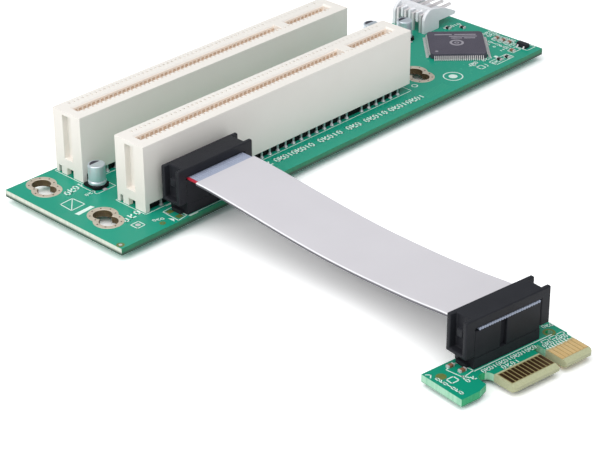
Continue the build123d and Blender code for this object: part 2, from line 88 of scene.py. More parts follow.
def shift(x, y):
    """A move along a board, in mm."""
    return Matrix.Translation((x * mm, y * mm, 0))


def turn(angle):
    """A turn on the spot."""
    return Matrix.Rotation(angle, 4, "Z")


corner, far_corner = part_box("main_board")
board_top = far_corner.z
card_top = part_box("edge_card")[1].z
chip_low, chip_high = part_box("bridge_chip")
chip_middle = (chip_low + chip_high) / 2
card_corner = (corner.x + card_place[0] * mm, corner.y + card_place[1] * mm, card_top)
on_board = Matrix.Translation((corner.x, corner.y, board_top))
on_card = Matrix.Translation(card_corner) @ turn(card_yaw)
on_chip = Matrix.Translation((chip_middle.x, chip_middle.y, board_top)) @ turn(chip_yaw)
slot_seats = [on_board @ shift(slot_place[0], slot_place[1] + i * slot_pitch) for i in range(2)]
print("board top at", round(board_top / mm, 3), "mm, card top at", round(card_top / mm, 3), "mm")

# %% [markdown]
# The camera
#
# A product picture like this is taken with a long lens, because it keeps
# parallel edges nearly parallel. The place and the turn below came from fitting
# the board's known sizes to the picture. The sensor is 36 mm wide.

# %% Camera
camera_data = bpy.data.cameras.new("product_camera")
camera_data.sensor_width = 36.0
camera_data.lens = 118.925
camera_data.clip_start = 0.01
camera_data.clip_end = 10.0
camera = bpy.data.objects.new("product_camera", camera_data)
camera.location = (-0.298748, -0.246239, 0.203792)
camera.rotation_euler = (1.06662666, 0.00601805, -0.80283323)
scene.collection.objects.link(camera)
scene.camera = camera
print("camera at", tuple(round(v, 3) for v in camera.location))

# %% [markdown]
# Writing nodes in short
#
# Every finish and every repeating piece is a tree of nodes. Written out, each
# node takes a line to make, one for each setting and one for each link. This
# helper takes them all at once. A node hides the sockets of its other modes, and
# they share names with the live ones, so it looks among the live ones only.

# %% Node helpers


def feed(tree, entry, value):
    """Give an input a socket, a node's first live output, or a plain value."""
    if isinstance(value, bpy.types.Node):
        value = next(s for s in value.outputs if s.enabled)
    if isinstance(value, bpy.types.NodeSocket):
        tree.links.new(value, entry)
    else:
        entry.default_value = value


def add_node(tree, kind, **details):
    """A node with its settings, which have small names, and then its inputs, in capitals."""
    node = tree.nodes.new(kind)
    for name, value in details.items():
        if name[0].islower():
            setattr(node, name, value)
        else:
            label = name.replace("_", " ")
            feed(tree, next(s for s in node.inputs if s.enabled and s.name == label), value)
    return node


def calculate(tree, operation, *values):
    """A Math node on sockets, nodes or plain numbers."""
    node = add_node(tree, "ShaderNodeMath", operation=operation)
    for entry, value in zip(node.inputs, values):
        feed(tree, entry, value)
    return node


def split(tree, vector):
    """The outputs X, Y and Z of a vector."""
    return add_node(tree, "ShaderNodeSeparateXYZ", Vector=vector).outputs


def camera_or(tree, other):
    """One where a ray comes from the camera, or is of another named kind."""
    path = add_node(tree, "ShaderNodeLightPath").outputs
    return calculate(tree, "MAXIMUM", path["Is Camera Ray"], path[other])


# %% [markdown]
# The white table
#
# The picture has a pure white ground that still holds soft shadows and a dark
# line where the boards nearly touch it. More light would bleach the object, so
# the floor is simply painted brighter for the camera, through Light Path. A
# colour multiplies the light that arrives, so the shadows keep their depth,
# which a glow added to the floor would wash out.

# %% Floor
floor_true_tone = 0.8
floor_seen_tone = 1.28
floor_reach = 3.0
floor_gap = 0.00002

floor_paint = bpy.data.materials.new("white_table")
floor_paint.use_nodes = True
floor_tree = floor_paint.node_tree
floor_tree.nodes.clear()
floor_tone = add_node(floor_tree, "ShaderNodeMix", data_type="RGBA",
                      Factor=camera_or(floor_tree, "Is Glossy Ray"),
                      A=(*[floor_true_tone] * 3, 1), B=(*[floor_seen_tone] * 3, 1))
floor_skin = add_node(floor_tree, "ShaderNodeBsdfDiffuse", Color=floor_tone)
add_node(floor_tree, "ShaderNodeOutputMaterial", Surface=floor_skin)

floor_mesh = bpy.data.meshes.new("table_top")
floor_corners = [(floor_reach * x, floor_reach * y, 0) for x, y in ((-1, -1), (1, -1), (1, 1), (-1, 1))]
floor_mesh.from_pydata(floor_corners, [], [(0, 1, 2, 3)])
floor_mesh.materials.append(floor_paint)
floor = bpy.data.objects.new("table_top", floor_mesh)
floor.location.z = cad_box[0][2] - floor_gap
scene.collection.objects.link(floor)
print("floor at", round(floor.location.z / mm, 3), "mm")

# %% [markdown]
# The white room
#
# The world lights the object weakly and evenly from all sides. The camera sees a
# plain white in its place, and that too comes from Light Path.

# %% World
scene.view_settings.view_transform = "Standard"
world = bpy.data.worlds.new("white_room")
scene.world = world
world.use_nodes = True
world_tree = world.node_tree
world_tree.nodes.clear()
room_light = add_node(world_tree, "ShaderNodeBackground", Color=(0.95, 0.98, 1, 1), Strength=0.42)
room_seen = add_node(world_tree, "ShaderNodeBackground", Color=(1, 1, 1, 1), Strength=1.0)
room_mix = add_node(world_tree, "ShaderNodeMixShader", Fac=camera_or(world_tree, "Is Transmission Ray"))
feed(world_tree, room_mix.inputs[1], room_light)
feed(world_tree, room_mix.inputs[2], room_seen)
add_node(world_tree, "ShaderNodeOutputWorld", Surface=room_mix)
print("world nodes:", len(world_tree.nodes))

# %% [markdown]
# Three soft lamps
#
# The slots' tops are the brightest, then their left ends, and their long front
# faces are a shade darker. So the main lamp hangs above and to the left, a
# weaker one stands to the left, and a wide weak one fills the front.

# %% Lamps
centre = Vector([(a + b) / 2 for a, b in zip(*cad_box)])


def soft_lamp(name, offset, width, power, tint):
    """A square area lamp that faces the middle of the object."""
    light = bpy.data.lights.new(name, "AREA")
    light.size = width
    light.energy = power
    light.color = tint
    lamp = bpy.data.objects.new(name, light)
    lamp.location = centre + Vector(offset)
    lamp.rotation_euler = (-Vector(offset)).to_track_quat("-Z", "Y").to_euler()
    scene.collection.objects.link(lamp)


soft_lamp("top_softbox", (-0.32, -0.08, 0.72), 1.1, 5.8, (1, 1, 1))
soft_lamp("left_softbox", (-0.8, 0.15, 0.4), 0.6, 2.35, (1, 0.97, 0.93))
soft_lamp("front_fill", (0.05, -0.75, 0.6), 0.8, 0.75, (0.84, 0.92, 1))
print("lamps:", len(bpy.data.lights))

# %% [markdown]
# A finish is a small recipe
#
# Every finish here starts the same way: a Principled shader, a colour that a
# slow noise shifts a little, and a fine noise for the bump. Real moulded and
# plated surfaces are never one even colour. The helper builds that start, and
# names the colour's node, so that a finish can add what is special to it.

# %% The finish helper
bump_depth = 0.0001


def paint(*tone):
    """A colour given 0 to 255, as the shader's linear values."""
    shares = [value / 255 for value in tone]
    return (*[s / 12.92 if s <= 0.04045 else ((s + 0.055) / 1.055) ** 2.4 for s in shares], 1)


def mix_tones(tree, share, first, second):
    """A colour between two, each from a node, a socket or paint."""
    return add_node(tree, "ShaderNodeMix", data_type="RGBA", Factor=share, A=first, B=second)


def set_skin(tree, **inputs):
    """Feed the named inputs of the Principled shader."""
    for name, value in inputs.items():
        feed(tree, tree.nodes["Principled BSDF"].inputs[name.replace("_", " ")], value)


def object_place(tree):
    """The point's own coordinates on its object."""
    return add_node(tree, "ShaderNodeTexCoord").outputs["Object"]


def face_direction(tree):
    """Which way the flat face points."""
    return split(tree, add_node(tree, "ShaderNodeNewGeometry").outputs["True Normal"])


def finish(name, light, dark, patch, rough, grain=0.0, grain_size=0.2, metal=0.0, gloss=0.5):
    """A finish whose colour drifts between two tones, with a fine bump. Sizes are in mm."""
    material = bpy.data.materials.new(name)
    material.use_nodes = True
    tree = material.node_tree
    place = object_place(tree)
    drift = add_node(tree, "ShaderNodeTexNoise", Vector=place, Scale=1 / (patch * mm), Detail=3.0)
    tones = mix_tones(tree, drift, paint(*light), paint(*dark))
    tones.name = "tones"
    set_skin(tree, Base_Color=tones, Roughness=rough, Metallic=metal, Specular_IOR_Level=gloss)
    if grain:
        fine = add_node(tree, "ShaderNodeTexNoise", Vector=place, Scale=1 / (grain_size * mm), Detail=2.0)
        bump = add_node(tree, "ShaderNodeBump", Strength=grain, Distance=bump_depth, Height=fine)
        set_skin(tree, Normal=bump)
    return material


print("a tone of 128 is", round(paint(128, 128, 128)[0], 3), "of full light")

# %% [markdown]
# The finishes of this object
#
# Each line is one real surface: its light and dark tone, the size of the patches
# between them, its roughness, and where it has one, its grain. Plating is only
# partly metallic here, because in a white room a full mirror of tin looks grey.

# %% All the plain finishes
slot_white = finish("slot_moulding", (243, 239, 233), (238, 232, 225), 9, 0.5, 0.12, 0.3)
connector_black = finish("connector_moulding", (44, 45, 50), (35, 36, 41), 3, 0.4, 0.25, 0.15, gloss=0.12)
# Black plastic of the can seats, and also the black strips under the slots, which are painted shade.
black_plastic_and_shade = finish("comb_moulding", (16, 18, 20), (10, 11, 13), 2, 0.6, 0.2, 0.15, gloss=0.2)
spring_gold = finish("contact_springs", (234, 210, 188), (210, 184, 160), 1.5, 0.4, metal=0.2)
finger_gold = finish("edge_plating", (255, 226, 168), (240, 200, 132), 4, 0.3, metal=0.6)
# Partly worn plating and partly a painted reflection of the room, so darker than gold.
dull_plating_and_reflection = finish("edge_plating_dull", (112, 84, 52), (76, 54, 34), 4, 0.35, metal=0.8)
# A darker laminate field under the near group of contacts.
bare_dark = finish("stained_laminate", (150, 138, 94), (126, 114, 76), 1.5, 0.5)
bare_gold = finish("gilded_laminate", (192, 164, 112), (172, 144, 94), 1.5, 0.5)
tin = finish("tinned_metal", (238, 234, 234), (210, 204, 206), 1.0, 0.35, 0.2, 0.2, metal=0.35)
solder = finish("solder", (226, 228, 230), (186, 190, 194), 0.7, 0.3, 0.3, 0.25, metal=0.6)
wrap_film = finish("cable_wrap", (213, 210, 215), (206, 203, 208), 12, 0.4, 0.05, 1.0)
cable_grey = finish("cable_insulation", (170, 178, 198), (150, 158, 180), 3, 0.45)
cable_red = finish("marked_wire", (196, 44, 66), (170, 30, 50), 2, 0.4)
chip_epoxy = finish("chip_epoxy", (84, 80, 93), (70, 66, 79), 4, 0.55, 0.4, 0.12, gloss=0.4)
chip_ink = finish("chip_marking", (168, 164, 172), (130, 126, 136), 0.5, 0.6)
can_metal = finish("drawn_can", (226, 233, 240), (202, 213, 222), 3, 0.32, metal=0.65)
can_ink = finish("can_marking", (52, 50, 66), (40, 38, 52), 0.8, 0.4)
power_nylon = finish("white_nylon", (242, 242, 245), (232, 233, 238), 5, 0.4, 0.1, 0.3)
part_black = finish("resistor_glaze", (30, 28, 30), (20, 19, 20), 0.6, 0.35)
part_tan = finish("capacitor_ceramic", (160, 112, 84), (122, 80, 58), 0.6, 0.45)
ring_tin = finish("ring_plating", (212, 202, 186), (184, 170, 152), 1.2, 0.38, 0.3, 0.25, metal=0.25)
# The bore's wall: its copper, darkened with painted shade.
bore_copper_and_shade = finish("bore_plating", (112, 96, 62), (72, 58, 42), 1.0, 0.5, 0.3, 0.25, metal=0.3)
olive = finish("bare_target", (112, 128, 62), (84, 102, 48), 0.8, 0.5)
# Dark discs for open via holes: copper with painted shade.
via_copper_and_shade = finish("open_via", (88, 66, 58), (58, 44, 40), 0.3, 0.5)
print_white = finish("board_print", (232, 246, 240), (206, 228, 218), 0.8, 0.6, 0.3, 0.15)
track_green = finish("covered_tracks", (60, 172, 142), (44, 158, 128), 6, 0.3, gloss=0.25)
print("finishes:", len(bpy.data.materials))

# %% [markdown]
# Painted warm light in the slots' mouths
#
# Inside a mouth, light goes back and forth between gold springs and thin white
# walls and turns warm. More bounces would cost time, so that light is painted on:
# the walls there get a warmer paint and a faint glow, a painted bounce light.
# Both slots share one finish, and Wrap folds the two of them onto one middle
# line, so one test finds both mouths.

# %% The mouths' painted warm light
mouth_middle = 4.5
mouth_reach = 1.12
mouth_top = 15.45
wall_facing = 0.5


def add_painted_bounce_light(material, bounce_tone, bounce_glow):
    """Painted bounce light: a warmer tone and a glow on the long walls inside the slots' mouths."""
    tree = material.node_tree
    place = split(tree, object_place(tree))
    half = slot_pitch / 2 * mm
    aside = calculate(tree, "SUBTRACT", place["Y"], corner.y + (slot_place[1] + mouth_middle) * mm)
    aside = calculate(tree, "ABSOLUTE", calculate(tree, "WRAP", aside, half, -half))
    inside = calculate(tree, "MULTIPLY", calculate(tree, "LESS_THAN", aside, mouth_reach * mm),
                       calculate(tree, "LESS_THAN", place["Z"], board_top + mouth_top * mm))
    facing = calculate(tree, "ABSOLUTE", face_direction(tree)["Y"])
    walls = calculate(tree, "MULTIPLY", calculate(tree, "GREATER_THAN", facing, wall_facing), inside)
    set_skin(tree, Base_Color=mix_tones(tree, walls, tree.nodes["tones"], bounce_tone), Emission_Color=bounce_tone,
             Emission_Strength=calculate(tree, "MULTIPLY", walls, bounce_glow))


# Painted bounce light: this warm tone and this glow stand for light passed between springs and walls.
add_painted_bounce_light(slot_white, paint(250, 238, 226), 0.09)
print("mouth tint up to", mouth_top, "mm")

# %% [markdown]
# The wrap's folded edge, with painted light
#
# The film lies flat over the wires and turns under at both sides. Along the turn
# a thin bright line is painted on as a highlight, and below it the colour is
# darkened as painted shade. Both follow from how far a face points up, so two
# ranges of that pick the tone.

# %% The folded edge's painted highlight and shade
highlight_range = (0.05, 0.4)
flat_range = (0.8, 0.98)


def add_painted_edge_light(material, painted_shade, painted_highlight):
    """A painted highlight where a sheet turns over its edge, and painted shade where it faces down."""
    tree = material.node_tree
    up = split(tree, add_node(tree, "ShaderNodeNewGeometry").outputs["Normal"])["Z"]
    tone = painted_shade
    for (low, high), next_tone in ((highlight_range, painted_highlight), (flat_range, tree.nodes["tones"])):
        rise = add_node(tree, "ShaderNodeMapRange", Value=up, From_Min=low, From_Max=high)
        tone = mix_tones(tree, rise, tone, next_tone)
    set_skin(tree, Base_Color=tone)


# Painted shade below the turn, and a painted highlight along it.
add_painted_edge_light(wrap_film, paint(92, 90, 98), paint(240, 240, 244))
print("wrap nodes:", len(wrap_film.node_tree.nodes))

# %% [markdown]
# The boards' own finish, and painted shade on their edges
#
# A board is glass laminate with a coloured mask on its two faces only, so its
# cut edges show the laminate. One material does it all: it looks at which way a
# face points, and paints the mask where it points up or down, a pale sawn edge
# where it points left, and a greener routed edge elsewhere. The cut edges carry
# the fine upright marks of the saw, from a noise squeezed along Z, and a painted
# shade darkens them towards the bottom, near the table.

# %% Board finish
# Painted shade: the cut edges turn to this dark tone towards the board's bottom.
painted_edge_shade = paint(44, 76, 60)
edge_shade_low = 0.25
edge_shade_high = 0.95
card_edge_shade_drop = 0.6
turned_to = 0.6


def board_finish(name, light, dark, sawn, routed, bottom):
    """Mask on the faces, laminate on the edges, and painted shade low on the edges above a bottom given in
    mm.
    """
    material = finish(name, light, dark, 30, 0.3, gloss=0.25)
    tree = material.node_tree
    place = object_place(tree)
    facing = face_direction(tree)
    squeezed = add_node(tree, "ShaderNodeMapping", Vector=place, Scale=(1, 1, 0.06))
    marks = add_node(tree, "ShaderNodeTexNoise", Vector=squeezed, Scale=1400.0, Detail=1.0)
    edges = [mix_tones(tree, marks, paint(*pale), paint(*deep)) for pale, deep in (routed, sawn)]
    edge = mix_tones(tree, calculate(tree, "LESS_THAN", facing["X"], -turned_to), *edges)
    height = split(tree, place)["Z"]
    rise = add_node(tree, "ShaderNodeMapRange", interpolation_type="SMOOTHSTEP", Value=height,
                    From_Min=(bottom + edge_shade_low) * mm, From_Max=(bottom + edge_shade_high) * mm)
    edge = mix_tones(tree, rise, painted_edge_shade, edge)
    is_face = calculate(tree, "GREATER_THAN", calculate(tree, "ABSOLUTE", facing["Z"]), turned_to)
    set_skin(tree, Base_Color=mix_tones(tree, is_face, edge, tree.nodes["tones"]))
    return material


board_green = board_finish("board_mask", (34, 160, 134), (16, 144, 118), ((190, 204, 186), (232, 234, 222)),
                           ((8, 112, 82), (34, 138, 94)), board_top / mm - board_thick)
card_green = board_finish("card_mask", (20, 151, 122), (8, 137, 108), ((110, 190, 150), (190, 226, 204)),
                          ((10, 150, 96), (50, 184, 124)), card_top / mm - board_thick - card_edge_shade_drop)
print("board nodes:", len(board_green.node_tree.nodes))

# %% [markdown]
# The small card changes colour along its length
#
# The mask stops before the edge contacts, so the tongue shows bare laminate. The
# border is a straight line across the card, so the material turns the object
# coordinates into the card's own and compares one of them with a limit. The tab
# beside the tongue keeps its mask.

# %% Bare laminate on the tongue
mask_end = -7.0
tongue_left = 2.6
laminate = (paint(168, 170, 134), paint(190, 192, 158))


def add_bare_tongue(material):
    """Bare laminate where a point of the card lies beyond the mask's end."""
    tree = material.node_tree
    covered = tree.nodes["Principled BSDF"].inputs["Base Color"].links[0].from_socket
    place = object_place(tree)
    weave = add_node(tree, "ShaderNodeTexNoise", Vector=place, Scale=2500.0, Detail=2.0)
    moved = add_node(tree, "ShaderNodeVectorMath", operation="SUBTRACT", Vector=place)
    moved.inputs[1].default_value = on_card.translation
    turned = add_node(tree, "ShaderNodeVectorRotate", rotation_type="Z_AXIS", Vector=moved, Angle=-card_yaw)
    own = split(tree, turned)
    bare = calculate(tree, "MULTIPLY", calculate(tree, "LESS_THAN", own["Y"], mask_end * mm),
                     calculate(tree, "GREATER_THAN", own["X"], tongue_left * mm))
    set_skin(tree, Base_Color=mix_tones(tree, bare, covered, mix_tones(tree, weave, *laminate)))


add_bare_tongue(card_green)
print("card nodes:", len(card_green.node_tree.nodes))

# %% [markdown]
# CAD nodes that keep their mesh
#
# The boards, the pins and the smallest parts are right as they come, so they
# only change their finish.

# %% Finishes for CAD nodes


def wear(material, *names):
    """Give a finish to CAD nodes, by their names."""
    for name in names:
        mesh = nodes[name].data
        mesh.materials.clear()
        mesh.materials.append(material)


wear(board_green, "main_board")
wear(card_green, "edge_card")
wear(tin, "main_header_pins", "card_header_pins", "power_pins", "chip_resistor_ends",
     "chip_capacitor_ends", "card_chip_ends", "regulator_legs")
wear(connector_black, "main_header", "card_header", "regulator")
wear(part_black, "chip_resistors")
wear(part_tan, "chip_capacitors", "card_chip_parts")
print("nodes in tin:", sum(tin in list(node.data.materials) for node in nodes.values()))

# %% [markdown]
# Drawing small meshes
#
# A piece starts as a small mesh drawn in millimetres. These helpers add a block,
# a plate with any outline, or a turned shape to it.

# %% Drawing helpers


def add_block(form, low, high):
    """A block between two corners."""
    middle = [(a + b) / 2 * mm for a, b in zip(low, high)]
    size = [(b - a) * mm for a, b in zip(low, high)]
    bmesh.ops.create_cube(form, size=1, matrix=Matrix.Translation(middle) @ Matrix.Diagonal((*size, 1)))


def add_plate(form, outline, low, high, upright=False):
    """A plate with an outline in X and Y, or in Y and Z and upright along X."""
    ends = []
    for level in (low, high):
        spots = [(level, a, b) if upright else (a, b, level) for a, b in outline]
        ends.append([form.verts.new(Vector(spot) * mm) for spot in spots])
    form.faces.new(reversed(ends[0]))
    form.faces.new(ends[1])
    for i in range(len(outline)):
        j = (i + 1) % len(outline)
        form.faces.new((ends[0][i], ends[0][j], ends[1][j], ends[1][i]))


def box_outline(x0, y0, x1, y1):
    """The four corners of an upright rectangle."""
    return (x0, y0), (x1, y0), (x1, y1), (x0, y1)


def disc(radius, sides=16, x=0.0, y=0.0):
    """The outline of a round plate."""
    angles = [2 * math.pi * i / sides for i in range(sides)]
    return [(x + radius * math.cos(a), y + radius * math.sin(a)) for a in angles]


def add_turned(form, profile, sides, x=0.0, y=0.0):
    """A turned shape from radii and heights, closed where a radius is zero."""
    rings = []
    for radius, height in profile:
        spots = disc(radius, sides, x, y) if radius else [(x, y)]
        rings.append([form.verts.new(Vector((*spot, height)) * mm) for spot in spots])
    for lower, upper in zip(rings, rings[1:]):
        for i in range(sides):
            around = [(lower, i), (lower, i + 1), (upper, i + 1), (upper, i)]
            corners = [ring[place % len(ring)] for ring, place in around]
            form.faces.new(list(dict.fromkeys(corners)))


def bridge(form, loops):
    """Close loops of points into one skin, from each to the next and back to the first."""
    bands = []
    for lower, upper in zip(loops, loops[1:] + loops[:1]):
        for i in range(len(lower)):
            j = (i + 1) % len(lower)
            bands.append(form.faces.new((lower[i], lower[j], upper[j], upper[i])))
    return bands


print("a disc's side is", round(math.dist(*disc(1.0)[:2]), 3), "of its radius")

# %% [markdown]
# From a mesh to a piece
#
# The drawn mesh becomes an object with its place in its mesh. Another helper
# hides the CAD nodes that a finished piece stands for. The CAD solids
# have razor edges, and a real moulding never does, so one helper copies a node,
# merges its loose triangles, and rounds its edges with a Bevel modifier.

# %% Piece helpers
weld_gap = 0.002
flat_angle = math.radians(1)
bevel_angle = math.radians(40)


def link_mesh(name, mesh):
    """A new object for a mesh."""
    piece = bpy.data.objects.new(name, mesh)
    scene.collection.objects.link(piece)
    return piece


def make(name, form, material, place=None):
    """An object from a drawn mesh, which it uses up, put in its place."""
    bmesh.ops.recalc_face_normals(form, faces=form.faces)
    mesh = bpy.data.meshes.new(name)
    form.to_mesh(mesh)
    form.free()
    if place is not None:
        mesh.transform(place)
    mesh.materials.append(material)
    return link_mesh(name, mesh)


def stamp(name, material, draw, *details):
    """A small piece from one drawing helper and its details."""
    form = bmesh.new()
    draw(form, *details)
    return make(name, form, material)


def seat(piece, place):
    """Put a piece in its place, in its mesh."""
    piece.data.transform(place)
    return piece


def settle(piece):
    """Turn a piece's modifiers into plain mesh."""
    bpy.context.view_layer.update()
    graph = bpy.context.evaluated_depsgraph_get()
    mesh = bpy.data.meshes.new_from_object(piece.evaluated_get(graph), depsgraph=graph)
    piece.modifiers.clear()
    piece.data = mesh
    return piece


def shade(piece, angle=35.0):
    """Smooth shading that keeps flat faces flat, with a crease at each sharp edge."""
    piece.data.shade_smooth()
    piece.data.set_sharp_from_angle(angle=math.radians(angle))
    weighted = piece.modifiers.new("flat_faces", "WEIGHTED_NORMAL")
    weighted.weight = 100
    weighted.keep_sharp = True
    settle(piece)


def gather(name, parts):
    """One object from several, which it uses up."""
    form = bmesh.new()
    materials = []
    for part in parts:
        first = len(form.faces)
        form.from_mesh(part.data)
        form.faces.ensure_lookup_table()
        for face in form.faces[first:]:
            material = part.data.materials[face.material_index]
            if material not in materials:
                materials.append(material)
            face.material_index = materials.index(material)
        bpy.data.objects.remove(part)
    mesh = bpy.data.meshes.new(name)
    form.to_mesh(mesh)
    form.free()
    for material in materials:
        mesh.materials.append(material)
    return link_mesh(name, mesh)


def mount(piece, slot, *stands_for):
    """Let a piece ride on the model, and hide the nodes that it replaces. Its slot is not used."""
    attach(piece, "root")
    if stands_for:
        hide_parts(*stands_for)
    print(piece.name, "has", sum(len(face.vertices) - 2 for face in piece.data.polygons), "triangles")


def rounded_copy(node, name, material, radius, steps=3):
    """A copy of a CAD node with merged triangles and rounded edges."""
    form = bmesh.new()
    form.from_mesh(nodes[node].data)
    bmesh.ops.remove_doubles(form, verts=form.verts, dist=weld_gap * mm)
    bmesh.ops.dissolve_limit(form, angle_limit=flat_angle, verts=form.verts, edges=form.edges)
    piece = make(name, form, material, nodes[node].matrix_world)
    bevel = piece.modifiers.new("rounded_edges", "BEVEL")
    bevel.width = radius * mm
    bevel.segments = steps
    bevel.limit_method = "ANGLE"
    bevel.angle_limit = bevel_angle
    shade(settle(piece))
    return piece


print("edges rounded from", round(math.degrees(bevel_angle)), "degrees")

# %% [markdown]
# Trees that repeat a shape
#
# Every Geometry Nodes tree here starts with named inputs and ends the same way:
# Realize Instances makes real faces of its copies, because the export drops
# instances, and Set Material gives them their finish. Two helpers do that, and a
# third runs a tree once and keeps the plain mesh that it makes.

# %% Tree helpers


def new_tree(name, **inputs):
    """An empty Geometry Nodes tree with named inputs, and those inputs."""
    tree = bpy.data.node_groups.new(name, "GeometryNodeTree")
    for label, kind in {"Geometry": "Geometry", **inputs, "Finish": "Material"}.items():
        tree.interface.new_socket(label.replace("_", " "), in_out="INPUT", socket_type=f"NodeSocket{kind}")
    tree.interface.new_socket("Geometry", in_out="OUTPUT", socket_type="NodeSocketGeometry")
    return tree, tree.nodes.new("NodeGroupInput").outputs


def shape_of(tree, thing):
    """The geometry of an object that the tree was given."""
    return add_node(tree, "GeometryNodeObjectInfo", Object=thing).outputs["Geometry"]


def close_tree(tree, given, made):
    """End a tree with real faces in their finish."""
    real = add_node(tree, "GeometryNodeRealizeInstances", Geometry=made)
    painted = add_node(tree, "GeometryNodeSetMaterial", Geometry=real, Material=given["Finish"])
    add_node(tree, "NodeGroupOutput", Geometry=painted)
    print(tree.name, "has", len(tree.nodes), "nodes")


def run_tree(name, tree, **values):
    """Give a tree its inputs, and keep the plain mesh that it makes."""
    piece = link_mesh(name, bpy.data.meshes.new(name))
    modifier = piece.modifiers.new(name, "NODES")
    modifier.node_group = tree
    for item in tree.interface.items_tree:
        label = item.name.replace(" ", "_")
        if item.in_out == "INPUT" and label in values:
            modifier[item.identifier] = values[label]
    return settle(piece)


# %% [markdown]
# A row of like parts
#
# Pins, contacts, pockets and printed ticks all stand in rows with one step, so
# one tree makes every row. A Mesh Line gives the points, a second one gives
# further rows, and Instance on Points puts the small shape on each. The slots
# leave out one contact at their key, so the tree can skip a point. A seeded
# random length serves the printed ticks, which aren't all alike.

# %% The row tree
row_tree, given = new_tree("row_of_parts", Shape="Object", First="Vector", Step="Vector", Count="Int",
                           Rows="Int", Row_Step="Vector", Skip="Int", Shortest="Float", Seed="Int")
line = add_node(row_tree, "GeometryNodeMeshLine", Count=given["Count"], Start_Location=given["First"],
                Offset=given["Step"])
skipped = add_node(row_tree, "FunctionNodeCompare", data_type="INT", operation="EQUAL",
                   A=add_node(row_tree, "GeometryNodeInputIndex"), B=given["Skip"])
kept = add_node(row_tree, "GeometryNodeDeleteGeometry", Geometry=line, Selection=skipped)
length = add_node(row_tree, "FunctionNodeRandomValue", Min=given["Shortest"], Seed=given["Seed"])
stretch = add_node(row_tree, "ShaderNodeCombineXYZ", X=1.0, Y=length, Z=1.0)
one_row = add_node(row_tree, "GeometryNodeInstanceOnPoints", Points=kept,
                   Instance=shape_of(row_tree, given["Shape"]), Scale=stretch)
rows_line = add_node(row_tree, "GeometryNodeMeshLine", Count=given["Rows"], Offset=given["Row Step"])
all_rows = add_node(row_tree, "GeometryNodeInstanceOnPoints", Points=rows_line, Instance=one_row)
close_tree(row_tree, given, all_rows)


def row(name, shape, first, step, count, rows=1, row_step=(0, 0, 0), skip=-1, shortest=1.0, seed=1):
    """A row of a small shape. Places are in mm, and skip is the number of a point left out."""
    first, step, row_step = [[v * mm for v in vector] for vector in (first, step, row_step)]
    return run_tree(name, row_tree, Shape=shape, Finish=shape.data.materials[0], First=first, Step=step,
                    Count=count, Rows=rows, Row_Step=row_step, Skip=skip, Shortest=shortest, Seed=seed)


# %% [markdown]
# The slot mouldings
#
# Each slot is one moulding with a keyed mouth. Its top carries a small square
# pocket behind every contact, where the mould's cores stood. The pockets could
# be painted as dots, but real ones catch a shadow, so the row tree makes a row
# of small cutters and a Boolean modifier takes them out of the rounded copy.

# %% Slots with their pockets
contact_pitch = 1.27
contact_first = 3.685
contact_count = 62
slot_length = 84.84
slot_width = 9.0
slot_height = 15.6
slot_rounding = 0.22
pocket_rows = (2.75, 7.6)
pocket_half = (0.27, 0.36)
pocket_deep = 0.4
core_above = 0.2

core = stamp("pocket_core", slot_white, add_block,
             (-pocket_half[0], -pocket_half[1], slot_height - pocket_deep),
             (*pocket_half, slot_height + core_above))
for i, place in enumerate(slot_seats):
    housing = rounded_copy(f"slot_{i + 1}_housing", f"slot_{i + 1}_moulding", slot_white, slot_rounding)
    cores = row("pocket_cores", core, (contact_first, pocket_rows[0], 0), (contact_pitch, 0, 0),
                contact_count, 2, (0, pocket_rows[1] - pocket_rows[0], 0))
    cut = housing.modifiers.new("pockets", "BOOLEAN")
    cut.object = seat(cores, place)
    cut.solver = "EXACT"
    shade(settle(housing))
    bpy.data.objects.remove(cores)
    mount(housing, "slot_plastic", f"slot_{i + 1}_housing")

# %% [markdown]
# Contacts, tails and black strips of painted shade
#
# Along the mouth stand sprung strips of gold-flashed copper, one at each step on
# both walls. Their tails come out below in two rows a side and are soldered
# through the board. Black strips between the outer ones stand for the shade under
# the slot, as painted shade, and show as a row of black squares. Springs, tails
# and joints are drawn once each with few faces, and the row tree repeats them.

# %% Shapes of the contacts
mouth_half = 1.05
spring_path = ((0.0, 14.75), (-0.06, 14.6), (0.36, 13.2), (0.3, 12.2), (0.03, 9.0), (0.0, 4.05))
spring_thick = 0.13
spring_half = 0.38
tip_half = (0.2, 0.32)
tip_levels = (0.42, 0.2)
tail_half = (0.24, 0.16)
lift = 1.8
joint_profile = ((0, -3.1), (0.16, -3.05), (0.22, -2.4), (0.5, -1.66), (0.62, -1.6), (0, -1.6))
foot_profile = ((0, 0.01), (0.6, 0.01), (0.5, 0.08), (0.26, 0.5), (0, 0.5))


def add_spring(form, wall, side):
    """A sprung strip against a mouth's wall, bulging away from it."""
    outer = [(wall + side * (out + spring_thick / 2), up) for out, up in spring_path]
    inner = [(wall + side * (out - spring_thick / 2), up) for out, up in reversed(spring_path)]
    add_plate(form, outer + inner, -spring_half, spring_half, True)


def add_tail(form):
    """An outer tail above the board, with the solder at its foot."""
    add_block(form, (-tail_half[0], -tail_half[1], 0.0), (*tail_half, lift))
    add_turned(form, foot_profile, 8)


spring_shapes = [stamp("spring_shape", spring_gold, add_spring, slot_width / 2 - side * mouth_half, side)
                 for side in (1, -1)]
tip_shape = stamp("tip_shape", spring_gold, add_block,
                  (-tip_half[0], pocket_rows[0] - tip_half[1], slot_height - tip_levels[0]),
                  (tip_half[0], pocket_rows[0] + tip_half[1], slot_height - tip_levels[1]))
tail_shape = stamp("tail_shape", solder, add_tail)
joint_shape = stamp("joint_shape", solder, add_turned, joint_profile, 8)
print("faces of a tail:", len(tail_shape.data.polygons))

# %% [markdown]
# Rows with a gap at the key
#
# Neighbouring contacts send their tails to different rows, so a row holds every
# second column. The odd and the even columns each lose one contact at the key.

